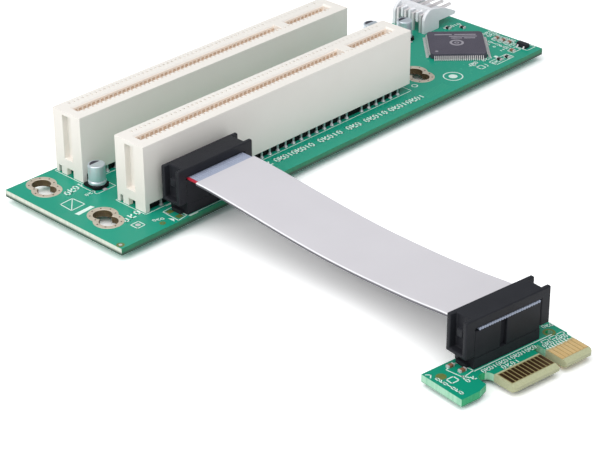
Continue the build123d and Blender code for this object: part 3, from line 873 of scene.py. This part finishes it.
# %% Contacts and their tails
row_columns = 31
key_gaps = (25, 24)
spring_rows = ((0, 0), (0, 1))
tail_rows = ((0.69, 1), (3.23, 0), (5.77, 1), (8.31, 0))
shade_strip_walls = ((0.95, 1.3), (7.7, 8.05))
shade_strip_ends = (1.3, 82.2)


def slot_rows(name, shape, rows):
    """Rows of a shape along a slot, each with its place and whether it starts one column on."""
    return [row(name, shape, (contact_first + odd * contact_pitch, y, 0), (2 * contact_pitch, 0, 0),
                row_columns, skip=key_gaps[odd]) for y, odd in rows]


for i, place in enumerate(slot_seats):
    springs = []
    for shape in (*spring_shapes, tip_shape):
        springs += slot_rows("springs", shape, spring_rows)
    tails = slot_rows("tails", tail_shape, (tail_rows[0], tail_rows[3]))
    joints = slot_rows("joints", joint_shape, tail_rows)
    contacts = seat(gather(f"slot_{i + 1}_springs", springs), place)
    mount(contacts, "contact_gold", f"slot_{i + 1}_contacts")
    mount(seat(gather(f"slot_{i + 1}_tails", tails + joints), place), "tinned_metal")
    # Black strips between the outer tails, a painted shade under the slot.
    shade_strips = bmesh.new()
    for front, back in shade_strip_walls:
        add_block(shade_strips, (shade_strip_ends[0], front, 0.0), (shade_strip_ends[1], back, lift))
    mount(make(f"slot_{i + 1}_comb", shade_strips, black_plastic_and_shade, place), "black_plastic")

# %% [markdown]
# Plated rings
#
# Each fixing hole is two round holes run into one another, with a plated ring
# round both. The ring's outline is the outer edge of two circles, which is easy
# to follow from the middle: in each direction, the farther circle wins. The
# plating goes through the hole, and inside it is darker: its copper, with a
# painted shade.

# %% Rings of the fixing holes
lobe = Vector((0.5, 1.55))
ring_steps = 96
bore = 2.1
ring_edge = 3.4
ring_levels = ((ring_edge, -0.02), (ring_edge - 0.08, 0.06), (bore + 0.14, 0.06), (bore, -0.05),
               (bore, -1.55), (bore + 0.14, -1.66), (ring_edge - 0.08, -1.66), (ring_edge, -1.58))
wall_band = 3
hole_seats = [on_board @ shift(x, y) for x in (6.6, 106.9) for y in (12.5, 32.82)]


def double_round(radius):
    """The outline of two circles run into one another, round their common middle."""
    outline = []
    for x, y in disc(1.0, ring_steps):
        direction = Vector((x, y))
        along = abs(lobe.dot(direction))
        outline.append(direction * (along + math.sqrt(radius ** 2 - lobe.length_squared + along ** 2)))
    return outline


rings = []
for place in hole_seats:
    form = bmesh.new()
    loops = [[form.verts.new(Vector((*spot, height)) * mm) for spot in double_round(radius)]
             for radius, height in ring_levels]
    # The bore's band of faces takes the darker finish, copper with painted shade.
    for face in bridge(form, loops)[wall_band * ring_steps:(wall_band + 1) * ring_steps]:
        face.material_index = 1
    ring = make("ring", form, ring_tin, place)
    ring.data.materials.append(bore_copper_and_shade)
    rings.append(ring)
rings = gather("fixing_rings", rings)
shade(rings)
mount(rings, "plated_copper", "hole_plating")

# %% [markdown]
# Vias along a ring
#
# A row of tiny vias stitches each ring to the copper below. They follow a curve,
# so a second small tree does it: the ring's middle line becomes a curve,
# Resample Curve spreads a number of points evenly along it, and each point gets
# a small dark disc, which stands for the open hole as painted shade over copper.

# %% The studs tree
vias_each = 11
stud_tree, given = new_tree("studs_along_line", Line="Object", Shape="Object", Count="Int")
as_curve = add_node(stud_tree, "GeometryNodeMeshToCurve", Mesh=shape_of(stud_tree, given["Line"]))
spread = add_node(stud_tree, "GeometryNodeResampleCurve", Curve=as_curve, Count=given["Count"])
close_tree(stud_tree, given, add_node(stud_tree, "GeometryNodeInstanceOnPoints", Points=spread,
                                      Instance=shape_of(stud_tree, given["Shape"])))

via_shape = stamp("via_shape", via_copper_and_shade, add_plate, disc(0.2, 10), 0.05, 0.075)
middle_line = bpy.data.meshes.new("ring_middle")
spots = [Vector((*spot, 0)) * mm for spot in double_round((bore + ring_edge) / 2)]
middle_line.from_pydata(spots, [(i, (i + 1) % ring_steps) for i in range(ring_steps)], [])
middle_line = link_mesh("ring_middle", middle_line)
ring_vias = [seat(run_tree("ring_vias", stud_tree, Line=middle_line, Shape=via_shape, Count=vias_each,
                           Finish=via_copper_and_shade), place) for place in hole_seats]
mount(gather("ring_stitching", ring_vias), "plated_copper")
bpy.data.objects.remove(middle_line)

# %% [markdown]
# Ribbon connectors
#
# Each is a black header, a socket, and a cover that clips over the cable. Their
# CAD shapes are right, and only their edges are too sharp: a moulding of this
# size has edges rounded by about a quarter of a millimetre, which show as thin
# light lines.

# %% Connector mouldings
for board in ("main", "card"):
    for part, name, rounding in (("cover", "saddle", 0.28), ("socket", "plug", 0.16)):
        moulding = rounded_copy(f"{board}_{part}", f"{board}_{name}", connector_black, rounding)
        mount(moulding, "black_plastic", f"{board}_{part}")

# %% [markdown]
# The cable
#
# A ribbon cable is a row of thin round wires joined side by side, and a red one
# marks the first. So it is built as that: one smooth path, and a profile of
# circles swept along it by Curve to Mesh. The path is a NURBS curve close to the
# CAD solid's route, which turns towards the small card halfway.

# %% The path of the cable
route_flat = ((6.0, 11.7), (-2.9, 11.7), (-9.9, 11.1), (-21.6, 9.8), (-32.0, 8.7), (-41.0, 8.1))
turn_y = -49.46
route_turned = ((turn_y, 7.9), (-57.0, 8.6), (-66.0, 9.6), (-73.5, 10.8), (-77.0, 11.1), (-82.1, 11.1))
cable_x = 27.96
route = [(cable_x, y, z) for y, z in route_flat]
route += [(cable_x + (turn_y - y) * math.tan(card_yaw), y, z) for y, z in route_turned]
path_data = bpy.data.curves.new("cable_path", "CURVE")
path_data.dimensions = "3D"
path_spline = path_data.splines.new("NURBS")
path_spline.points.add(len(route) - 1)
for point, (x, y, z) in zip(path_spline.points, route):
    point.co = (corner.x + x * mm, corner.y + y * mm, z * mm, 1)
path_spline.order_u = 3
path_spline.use_endpoint_u = True
path_spline.resolution_u = 12
cable_path = link_mesh("cable_path", path_data)
print("cable ends at x", round(route[-1][0], 2), "mm")

# %% [markdown]
# The sweep tree
#
# It trims the path by a length at each end, spreads points along it, keeps the
# normals level, so that the ribbon doesn't roll on its way round the bend, and
# sweeps the profile. The bare wires and their wrap share it, with other insets
# and another profile.

# %% The sweep tree
sweep_tree, given = new_tree("sweep_along_cable", Path="Object", Profile="Object", Start_Inset="Float",
                             End_Inset="Float", Samples="Int", Caps="Bool")
path = shape_of(sweep_tree, given["Path"])
whole = add_node(sweep_tree, "GeometryNodeCurveLength", Curve=path)
trim = add_node(sweep_tree, "GeometryNodeTrimCurve", mode="LENGTH", Curve=path, Start=given["Start Inset"],
                End=calculate(sweep_tree, "SUBTRACT", whole, given["End Inset"]))
spread = add_node(sweep_tree, "GeometryNodeResampleCurve", Curve=trim, Count=given["Samples"])
level = add_node(sweep_tree, "GeometryNodeSetCurveNormal", mode="Z_UP", Curve=spread)
close_tree(sweep_tree, given, add_node(sweep_tree, "GeometryNodeCurveToMesh", Curve=level,
                                       Profile_Curve=shape_of(sweep_tree, given["Profile"]),
                                       Fill_Caps=given["Caps"]))
cable_samples = 70
cable_crease = 50


def profile_curve(name, outlines):
    """A flat curve object with a closed straight-sided spline for each outline, in mm."""
    data = bpy.data.curves.new(name, "CURVE")
    data.dimensions = "2D"
    for outline in outlines:
        spline = data.splines.new("POLY")
        spline.points.add(len(outline) - 1)
        for point, (x, y) in zip(spline.points, outline):
            point.co = (x * mm, y * mm, 0, 1)
        spline.use_cyclic_u = True
    return link_mesh(name, data)


def sweep_cable(name, outlines, material, start, end, caps):
    """A profile swept along the cable's path, between two insets in mm."""
    profile = profile_curve(f"{name}_profile", outlines)
    made = run_tree(name, sweep_tree, Path=cable_path, Profile=profile, Start_Inset=start * mm,
                    End_Inset=end * mm, Samples=cable_samples, Caps=caps, Finish=material)
    bpy.data.objects.remove(profile)
    shade(made, cable_crease)
    return made


# %% [markdown]
# Wires and wrap
#
# Twenty-six wires lie side by side, and the last is red. The wrap is a thin film
# round them all. It is swept as an open skin with rounded sides, and a Solidify
# modifier gives the film its thickness, inwards.

# %% Wires
wire_count = 26
wire_pitch = 0.635
wire_radius = wire_pitch / 2
red_inset = 1.6
wires = [disc(wire_radius, 10, (i - (wire_count - 1) / 2) * wire_pitch) for i in range(wire_count)]
grey_wires = sweep_cable("ribbon_wires", wires[:-1], cable_grey, 0, 0, True)
red_wire = sweep_cable("marked_wire", wires[-1:], cable_red, 0, red_inset, True)
mount(gather("ribbon_conductors", [grey_wires, red_wire]), "ribbon_grey", "ribbon_cable")

# %% [markdown]
# The wrap starts a little way out of one connector and ends near the other. Its
# outline is a flat box with a quarter circle at each corner.

# %% Wrap
wrap_half = 8.655
wrap_rise = 0.425
wrap_round = 0.3
wrap_thick = 0.07
wrap_insets = (8.2, 5.7)
corner_steps = 4
wrap_outline = []
for quarter, (side_x, side_y) in enumerate(((1, -1), (1, 1), (-1, 1), (-1, -1))):
    for step in range(corner_steps + 1):
        angle = math.radians(-90 + 90 * quarter + 90 / corner_steps * step)
        wrap_outline.append((side_x * (wrap_half - wrap_round) + wrap_round * math.cos(angle),
                             side_y * (wrap_rise - wrap_round) + wrap_round * math.sin(angle)))
sleeve = sweep_cable("cable_sleeve", [wrap_outline], wrap_film, *wrap_insets, False)
wall = sleeve.modifiers.new("film", "SOLIDIFY")
wall.thickness = wrap_thick * mm
wall.offset = -1
shade(settle(sleeve), cable_crease)
mount(sleeve, "wrap_film", "ribbon_wrap")
bpy.data.objects.remove(cable_path)

# %% [markdown]
# Printing on the boards
#
# White print outlines the parts. Real print is ink a few hundredths of a
# millimetre thick, so each line is a thin raised strip. Rows of plain ticks,
# boxes, bars and rings keep the board's look and say nothing.

# %% Print helpers
ink = (0.0, 0.025)


def add_stroke(form, points, width=0.18, closed=False, levels=ink):
    """A line of print through points."""
    ends = list(points[1:]) + ([points[0]] if closed else [])
    for start, end in zip(points, ends):
        run = Vector(end) - Vector(start)
        along = run.normalized() * width / 2
        across = Vector((-along.y, along.x))
        a, b = Vector(start) - along, Vector(end) + along
        add_plate(form, (a - across, b - across, b + across, a + across), *levels)


def add_ring(form, x, y, radius, width=0.2, sides=32, levels=ink):
    """A printed circle, as one closed band."""
    low, high = levels
    outer, inner = radius + width / 2, radius - width / 2
    bridge(form, [[form.verts.new(Vector((*spot, height)) * mm) for spot in disc(size, sides, x, y)]
                  for size, height in ((outer, low), (outer, high), (inner, high), (inner, low))])


def add_frame(form, x0, y0, x1, y1, width=0.18):
    """A printed rectangle."""
    add_stroke(form, box_outline(x0, y0, x1, y1), width, True)


print("print is", ink[1], "mm thick")

# %% [markdown]
# The bridge chip
#
# The chip is a black epoxy block on a hundred bent leads. Each lead leaves the
# side at half height, drops, and ends in a flat foot on its pad. One lead is
# drawn as a bent strip, the row tree repeats it along one side, and the side is
# turned three times.

# %% Chip body and leads
lead_path = ((6.9, 0.92), (7.25, 0.9), (7.5, 0.16), (8.05, 0.12))
lead_thick = 0.12
lead_half = 0.12
lead_count = 25
lead_pitch = 0.5


def add_lead(form):
    """A strip bent along its path in X and Z, flat along Y."""
    outline = [(x, z + lead_thick / 2) for x, z in lead_path]
    outline += [(x, z - lead_thick / 2) for x, z in reversed(lead_path)]
    add_plate(form, outline, -lead_half, lead_half, True)
    for vertex in form.verts:
        side, out, up = vertex.co
        vertex.co = (out, side, up)


lead_shape = stamp("lead_shape", tin, add_lead)
lead_first = (0, -(lead_count - 1) * lead_pitch / 2, 0)
sides = [seat(row("leads", lead_shape, lead_first, (0, lead_pitch, 0), lead_count),
              on_chip @ turn(math.radians(90 * quarter))) for quarter in range(4)]
mount(gather("chip_leads", sides), "tinned_metal", "bridge_chip_leads")
mount(rounded_copy("bridge_chip", "chip_moulding", chip_epoxy, 0.14, 2), "chip_black", "bridge_chip")

# %% [markdown]
# The chip's top carries plain bars, a double ring, and a dot at pin one, drawn
# in the same thin strips as the print on the boards.

# %% Bars on the chip
chip_ink_levels = (1.5, 1.512)
bar_height = 0.5
bars = ((4.6, -5.2, -0.8), (4.6, -0.2, 5.2), (3.5, -1.6, 5.4), (2.4, -1.2, 1.6), (2.4, 2.1, 4.9))
marks = bmesh.new()
for y, left, right in bars:
    add_plate(marks, box_outline(left, y, right, y + bar_height), *chip_ink_levels)
add_plate(marks, disc(0.4, 20, -5.4, -5.4), *chip_ink_levels)
for radius, width in ((1.5, 0.6), (0.45, 0.3)):
    add_ring(marks, 0.0, -0.2, radius, width, 32, chip_ink_levels)
mount(make("chip_bars", marks, chip_ink, on_chip @ turn(math.radians(-90))), "chip_black")

# %% [markdown]
# Can capacitors
#
# A can is drawn aluminium, crimped over a rubber plug near its foot, and a dark
# print on its top marks one lead. It is a turned shape, so a profile of radii
# and heights says all of it. The base is a black square with two cut corners.

# %% Cans
can_spots = ((15.1, 24.9), (120.5, 28.8), (113.2, 33.5))
can_profile = ((0, 0.8), (1.96, 0.8), (2.05, 0.9), (2.05, 1.4), (1.98, 1.55), (1.86, 1.68), (1.86, 1.84),
               (1.95, 1.98), (1.95, 5.15), (1.86, 5.33), (1.7, 5.4), (1.55, 5.36), (0, 5.34))
can_mark_radius = 1.5
can_mark_levels = (5.34, 5.37)
mark_angles = [math.radians(a) for a in range(20, 161, 10)]
for i, (x, y) in enumerate(can_spots):
    can = seat(stamp(f"can_{i + 1}", can_metal, add_turned, can_profile, 40, x, y), on_board)
    shade(can, 45)
    mount(can, "can_aluminium", f"capacitor_{i + 1}_can")
    half_disc = [(x + can_mark_radius * math.cos(a), y + can_mark_radius * math.sin(a)) for a in mark_angles]
    mark = stamp(f"can_{i + 1}_mark", can_ink, add_plate, half_disc, *can_mark_levels)
    mount(seat(mark, on_board), "can_aluminium")
    mount(rounded_copy(f"capacitor_{i + 1}_base", f"can_{i + 1}_seat", black_plastic_and_shade, 0.1, 2), "black_plastic",
          f"capacitor_{i + 1}_base")
    wear(tin, f"capacitor_{i + 1}_leads")

# %% [markdown]
# The power connector
#
# It is white nylon, open on top, with two wings beside four bent pins. The CAD
# shape is right, so it only gets its rounded edges and its finish.

# %% Power connector
mount(rounded_copy("power_housing", "power_moulding", power_nylon, 0.18), "power_white", "power_housing")

# %% [markdown]
# Edge contacts
#
# The plating of the near group is painted dark: partly a painted reflection of
# the room behind the camera, partly the dullness of worn plating. The far group
# is bright gold.
# The contacts are thin strips with rounded ends, in rows of eleven and seven on
# both sides of the tongue, and each group lies on a field of its own tone.

# %% Edge contacts
finger_pitch = 1.0
finger_first = 4.96
finger_thick = 0.05
finger_outline = [(-0.35, -7.75), (-0.35, -11.05), (-0.2, -11.2), (0.2, -11.2), (0.35, -11.05), (0.35, -7.75),
                  (0.2, -7.6), (-0.2, -7.6)]
field_ends = (-11.35, -7.4)
field_thick = 0.012
fingers = []
for left, right, material in ((4.4, 15.5, bare_dark), (17.4, 24.5, bare_gold)):
    fingers.append(stamp("plated_field", material, add_block, (left, field_ends[0], 0.0),
                         (right, field_ends[1], field_thick)))
for start, count, material in ((0, 11, dull_plating_and_reflection), (13, 7, finger_gold)):
    for z in (0.0, -board_thick - finger_thick):
        finger_shape = stamp("finger_shape", material, add_plate, finger_outline, z, z + finger_thick)
        fingers.append(row("fingers", finger_shape, (finger_first + start * finger_pitch, 0, 0),
                           (finger_pitch, 0, 0), count))
        bpy.data.objects.remove(finger_shape)
mount(seat(gather("edge_contact_strips", fingers), on_card), "finger_gold", "edge_fingers")

# %% [markdown]
# Rows of plain marks
#
# The row tree does these as well. A row can lie at a slight angle, because its
# step is a vector. Boxes, angles and ticks by turns are as dense as print is,
# and plain ticks get a seeded random length each.

# %% Rows of marks


def add_angle(form):
    """A corner with a short slanted stroke."""
    add_stroke(form, ((-0.3, 0.6), (-0.3, -0.6), (0.4, -0.6)), 0.28)
    add_stroke(form, ((0.05, 0.1), (0.4, 0.5)), 0.28)


tick_shape = stamp("tick_shape", print_white, add_plate, box_outline(-0.14, -0.6, 0.14, 0.6), *ink)
box_shape = stamp("box_shape", print_white, add_frame, -0.35, -0.6, 0.35, 0.6, 0.26)
angle_shape = stamp("angle_shape", print_white, add_angle)
mark_turns = (box_shape, angle_shape, box_shape, tick_shape)


def marks_row(x0, y0, x1, y1, count, size):
    """A row of plain marks between two places: boxes, angles and ticks by turns."""
    step = [(b - a) / (count - 1) for a, b in ((x0, x1), (y0, y1))]
    parts = []
    for number, shape in enumerate(mark_turns):
        first = (x0 + number * step[0], y0 + number * step[1], 0)
        drawn = shape.data
        shape.data = drawn.copy()
        shape.data.transform(Matrix.Diagonal((size, size, 1, 1)))
        parts.append(row("marks", shape, first, (*[len(mark_turns) * s for s in step], 0),
                         (count - number + len(mark_turns) - 1) // len(mark_turns)))
        shape.data = drawn
    return gather("marks", parts)


def ticks(x0, y0, x1, y1, count, seed, shortest):
    """A row of ticks of uneven length between two places."""
    step = ((x1 - x0) / (count - 1), (y1 - y0) / (count - 1), 0)
    return row("ticks", tick_shape, (x0, y0, 0), step, count, shortest=shortest, seed=seed)


print("marks by turns:", [shape.name for shape in mark_turns])

# %% [markdown]
# Print on the main board
#
# Frames surround the slots and the small parts, and a few strokes, wedges and
# rings stand by the holes and the connector. All places are read off the board
# in millimetres from its corner.

# %% Lines on the main board
slot_frame_gap = 0.3
can_frame_half = (2.7, 2.9)
board_frames = [(slot_place[0] - slot_frame_gap, front - slot_frame_gap,
                 slot_place[0] + slot_length + slot_frame_gap, front + slot_width + slot_frame_gap, 0.18)
                for front in (slot_place[1], slot_place[1] + slot_pitch)]
board_frames += [(119.9, 3.0, 121.6, 4.7, 0.25), (124.4, 2.0, 131.2, 4.4, 0.2), (132.8, 3.6, 136.0, 5.4, 0.2),
                 (136.4, 1.9, 139.6, 6.6, 0.2), (8.1, 4.1, 10.3, 6.3, 0.22)]
board_frames += [(135.7, y - 0.75, 138.3, y + 0.75, 0.24) for y in (8.2, 10.2, 12.2)]
board_frames += [(can_spots[0][0] - can_frame_half[0], can_spots[0][1] - can_frame_half[1],
                  can_spots[0][0] + can_frame_half[0], can_spots[0][1] + can_frame_half[1], 0.16)]
board_strokes = (
    (0.2, True, ((16.69, 5.61), (19.49, 5.84), (19.26, 0.86), (16.41, 0.43))),
    (0.22, False, ((19.06, 7.1), (20.47, 7.1), (20.08, 5.2))), (0.2, False, ((19.46, 0.45), (39.3, 0.45))),
    (0.34, False, ((19.6, 0.2), (21.6, 0.2))), (0.2, False, ((3.9, 20.4), (7.2, 24.1))),
    (0.22, True, ((3.7, 20.2), (7.6, 20.4), (7.4, 24.3), (3.9, 24.1))),
    (0.25, False, ((122.2, 3.0), (122.8, 3.4), (122.7, 4.3))),
    (0.25, False, ((119.3, 6.4), (120.6, 5.5), (121.9, 6.8))))
board_wedges = (((15.5, 0.7), (16.3, 1.7), (15.5, 2.7)), ((3.5, 17.5), (8.2, 17.9), (7.9, 18.9), (3.2, 18.6)),
                box_outline(127.7, 4.9, 128.6, 5.7), disc(1.1, 20, 111.9, 5.4))
board_rings = ((111.9, 5.4, 2.35, 0.3, 32), (101.4, 8.6, 0.7, 0.25, 16), (132.6, 9.4, 0.3, 0.2, 10))


def print_lines(frames, strokes, wedges=(), rings=()):
    """All the lines of one board, as one piece."""
    lines = bmesh.new()
    for frame_line in frames:
        add_frame(lines, *frame_line)
    for width, closed, points in strokes:
        add_stroke(lines, points, width, closed)
    for outline in wedges:
        add_plate(lines, outline, *ink)
    for ring_line in rings:
        add_ring(lines, *ring_line)
    return make("lines", lines, print_white)


board_lines = print_lines(board_frames, board_strokes, board_wedges, board_rings)
print("faces of the board's lines:", len(board_lines.data.polygons))

# %% [markdown]
# Rows of marks follow the slots' front, the corner with the holes and the small
# parts on the right. Each line of the table is a start, an end, a number of
# marks and their size.

# %% Rows on the main board
board_rows = (
    (50.7, 5.1, 61.5, 4.75, 9, 1.25), (64.5, 4.7, 70.5, 4.5, 5, 1.25), (73.6, 4.4, 76.6, 4.3, 3, 1.25),
    (79.4, 4.2, 85.4, 4.0, 5, 1.25), (87.6, 3.9, 98.0, 3.5, 8, 1.25), (8.2, 26.9, 12.6, 27.9, 4, 1.25),
    (8.9, 8.7, 12.7, 9.4, 3, 1.25), (41.6, 5.5, 48.2, 5.2, 6, 1.25), (125.0, 3.2, 130.6, 3.2, 6, 0.85),
    (136.9, 14.6, 139.2, 14.6, 3, 0.9), (133.2, 25.9, 137.6, 25.2, 5, 0.9), (10.6, 23.3, 12.6, 23.4, 3, 0.7),
    (134.2, 7.2, 134.2, 13.2, 6, 0.9), (136.3, 9.2, 138.0, 9.2, 3, 0.75), (136.3, 11.2, 138.0, 11.2, 3, 0.75),
    (138.9, 8.2, 138.9, 13.4, 5, 0.8), (132.8, 17.6, 136.4, 17.6, 4, 0.8), (124.3, 6.0, 126.6, 6.0, 3, 0.8),
    (132.6, 11.5, 132.6, 15.0, 4, 0.8), (120.2, 6.6, 122.0, 6.6, 3, 0.9), (12.9, 4.2, 14.6, 3.5, 3, 0.7),
    (137.1, 16.2, 139.4, 16.2, 3, 0.9))
board_marks = [marks_row(*line) for line in board_rows] + [ticks(131.9, 6.6, 137.5, 6.9, 7, 8, 0.35)]
mount(seat(gather("main_board_print", [board_lines] + board_marks), on_board), "board_green")

# %% [markdown]
# Bare pads and collars
#
# Tinned pads without parts, a round target in a printed square, and bare copper
# round the corner's via and under two small pads break up the green.

# %% Pads
pad_spots = ((15.1, 22.3, 1.1, 0.9), (15.1, 27.5, 1.1, 0.9), (16.9, 4.6, 0.3, 1.2), (18.6, 1.7, 0.3, 1.2))
pad_thick = 0.04
corner_via = (1.0, 1.45)
pads = bmesh.new()
for x, y, width, depth in pad_spots:
    add_plate(pads, box_outline(x - width / 2, y - depth / 2, x + width / 2, y + depth / 2), 0.0, pad_thick)
add_plate(pads, disc(0.6, 16, 9.2, 5.2), 0.0, pad_thick)
add_plate(pads, disc(0.4, 16, *corner_via), 0.0, 0.05)
mount(make("bare_pads", pads, solder, on_board), "tinned_metal")

collar_levels = (0.0, 0.03)
bare_half = (0.7, 0.65)
collar = bmesh.new()
add_ring(collar, *corner_via, 0.64, 0.5, 20, collar_levels)
add_ring(collar, 13.3, 2.0, 0.45, 0.5, 14, collar_levels)
for x, y in ((17.74, 4.6), (17.75, 1.7)):
    add_block(collar, (x - bare_half[0], y - bare_half[1], 0.0), (x + bare_half[0], y + bare_half[1], 0.035))
mount(make("corner_via", collar, olive, on_board), "plated_copper")

# %% [markdown]
# Vias near the chip
#
# Small vias lie about the chip without a pattern. A scatter tree with a fixed
# seed spreads them over three patches of the board, and Poisson spacing keeps
# them apart.

# %% Scattered vias
via_profile = ((0, 0.0), (0.3, 0.0), (0.26, 0.03), (0.12, 0.03), (0, 0.01))
via_apart = 1.6
via_density = 160000.0
via_patches = ((100.0, 14.0, 117.0, 26.0), (115.0, 1.5, 133.0, 8.0), (130.0, 9.0, 135.0, 26.0))
first_seed = 2
scatter_tree, given = new_tree("scattered_vias", Region="Object", Shape="Object", Apart="Float",
                               Density="Float", Seed="Int")
points = add_node(scatter_tree, "GeometryNodeDistributePointsOnFaces", distribute_method="POISSON",
                  Mesh=shape_of(scatter_tree, given["Region"]), Distance_Min=given["Apart"],
                  Density_Max=given["Density"], Seed=given["Seed"])
close_tree(scatter_tree, given, add_node(scatter_tree, "GeometryNodeInstanceOnPoints", Points=points,
                                         Instance=shape_of(scatter_tree, given["Shape"])))


def add_patch(form, outline):
    """One flat face."""
    form.faces.new([form.verts.new(Vector((*spot, 0)) * mm) for spot in outline])


small_via = stamp("small_via_shape", track_green, add_turned, via_profile, 10)
scatters = []
for number, patch_box in enumerate(via_patches):
    patch = stamp("via_patch", track_green, add_patch, box_outline(*patch_box))
    scatters.append(run_tree("vias", scatter_tree, Region=patch, Shape=small_via, Apart=via_apart * mm,
                             Density=via_density, Seed=first_seed + number, Finish=track_green))
    bpy.data.objects.remove(patch)
mount(seat(gather("board_vias", scatters), on_board), "board_green")

# %% [markdown]
# Covered tracks
#
# Copper under the mask shows as slightly lighter, raised lines. A few fans of
# parallel tracks run from the chip towards the slots, again as rows.

# %% Tracks
track_half = 0.09
track_thick = 0.012
track_shape, cross_shape = [stamp("track_shape", track_green, add_plate, box_outline(*box), 0.0, track_thick)
                            for box in ((0, -track_half, 7.0, track_half), (-track_half, 0, track_half, 3.2))]
track_rows = [row("tracks", track_shape, (99.6, y, 0), (0, 0.55, 0), count)
              for y, count in ((18.2, 8), (24.4, 5))]
track_rows.append(row("tracks", cross_shape, (99.0, 1.6, 0), (0.6, 0, 0), 14))
track_rows.append(row("tracks", cross_shape, (134.4, 27.5, 0), (0.5, 0, 0), 9, 2, (0, 4.4, 0)))
mount(seat(gather("covered_copper", track_rows), on_board), "board_green")

# %% [markdown]
# Print and targets on the small card
#
# The small card carries the same kinds of marks, closer together, and two bare
# round targets.

# %% Print on the small card
card_frames = [(-4.1, -4.3, -2.3, -2.7, 0.24)]
card_frames += [(18.6 + 2.1 * i, -5.2, 20.2 + 2.1 * i, -4.4, 0.16) for i in range(3)]
card_strokes = (
    (0.2, True, ((1.2, 0.44), (1.95, -3.57), (-1.12, -4.14), (-1.85, -0.18))),
    (0.2, False, ((1.9, -3.85), (22.1, -3.85))), (0.26, False, ((-1.4, -4.8), (-1.0, -3.6), (-0.3, -4.9))),
    (0.24, False, ((-5.9, 0.9), (-5.2, 0.3), (-5.9, -0.4))))
card_rows = (
    (3.3, -4.9, 16.4, -4.9, 15, 0.8), (7.1, -6.3, 10.5, -6.4, 4, 0.8), (18.2, -5.9, 23.8, -5.9, 7, 0.75),
    (22.9, -0.9, 24.6, -1.3, 3, 0.7), (-5.2, -1.6, -4.9, -7.6, 7, 0.75), (-1.2, -5.4, 0.2, -5.4, 2, 0.8))
card_lines = print_lines(card_frames, card_strokes)
card_marks = [marks_row(*line) for line in card_rows] + [ticks(17.9, -6.9, 23.4, -6.9, 9, 24, 0.25)]
mount(seat(gather("small_card_print", [card_lines] + card_marks), on_card), "board_green")

targets = bmesh.new()
add_plate(targets, disc(1.05, 24, -4.1, -1.3), 0.0, 0.02)
add_ring(targets, 22.3, -3.0, 1.05, 0.5, 24, (0.0, 0.02))
mount(make("card_targets", targets, olive, on_card), "board_green")

# %% [markdown]
# Joints under the boards
#
# The underside shows a cone of solder on every pin of both ribbon headers. A
# smaller joint shape serves, in the same kind of rows.

# %% Solder joints of the headers
low_joint_profile = ((0, -2.55), (0.2, -2.5), (0.3, -2.1), (0.52, -1.66), (0.58, -1.6), (0, -1.6))
pins_a_row = 13
plug_middle = (10.9, 2.7)
plug_places = ((on_board, 17.06, 0.7), (on_card, -0.2, -3.52))
low_joint = stamp("low_joint_shape", solder, add_turned, low_joint_profile, 8)
joints = []
for side in (-1, 1):
    for board_place, x, y in plug_places:
        first = (x + plug_middle[0] - (pins_a_row - 1) / 2 * contact_pitch,
                 y + plug_middle[1] + side * contact_pitch / 2, 0)
        joints.append(seat(row("joints", low_joint, first, (contact_pitch, 0, 0), pins_a_row), board_place))
mount(gather("header_joints", joints), "tinned_metal")

# %% [markdown]
# Clearing up
#
# The small shapes that the rows copied have done their work, and they would show
# up as pieces of their own.

# %% Shapes no longer needed
used_shapes = (core, *spring_shapes, tip_shape, tail_shape, joint_shape, via_shape, lead_shape, tick_shape,
               box_shape, angle_shape, small_via, track_shape, cross_shape, low_joint)
for shape in used_shapes:
    bpy.data.objects.remove(shape)
print("shapes removed:", len(used_shapes))
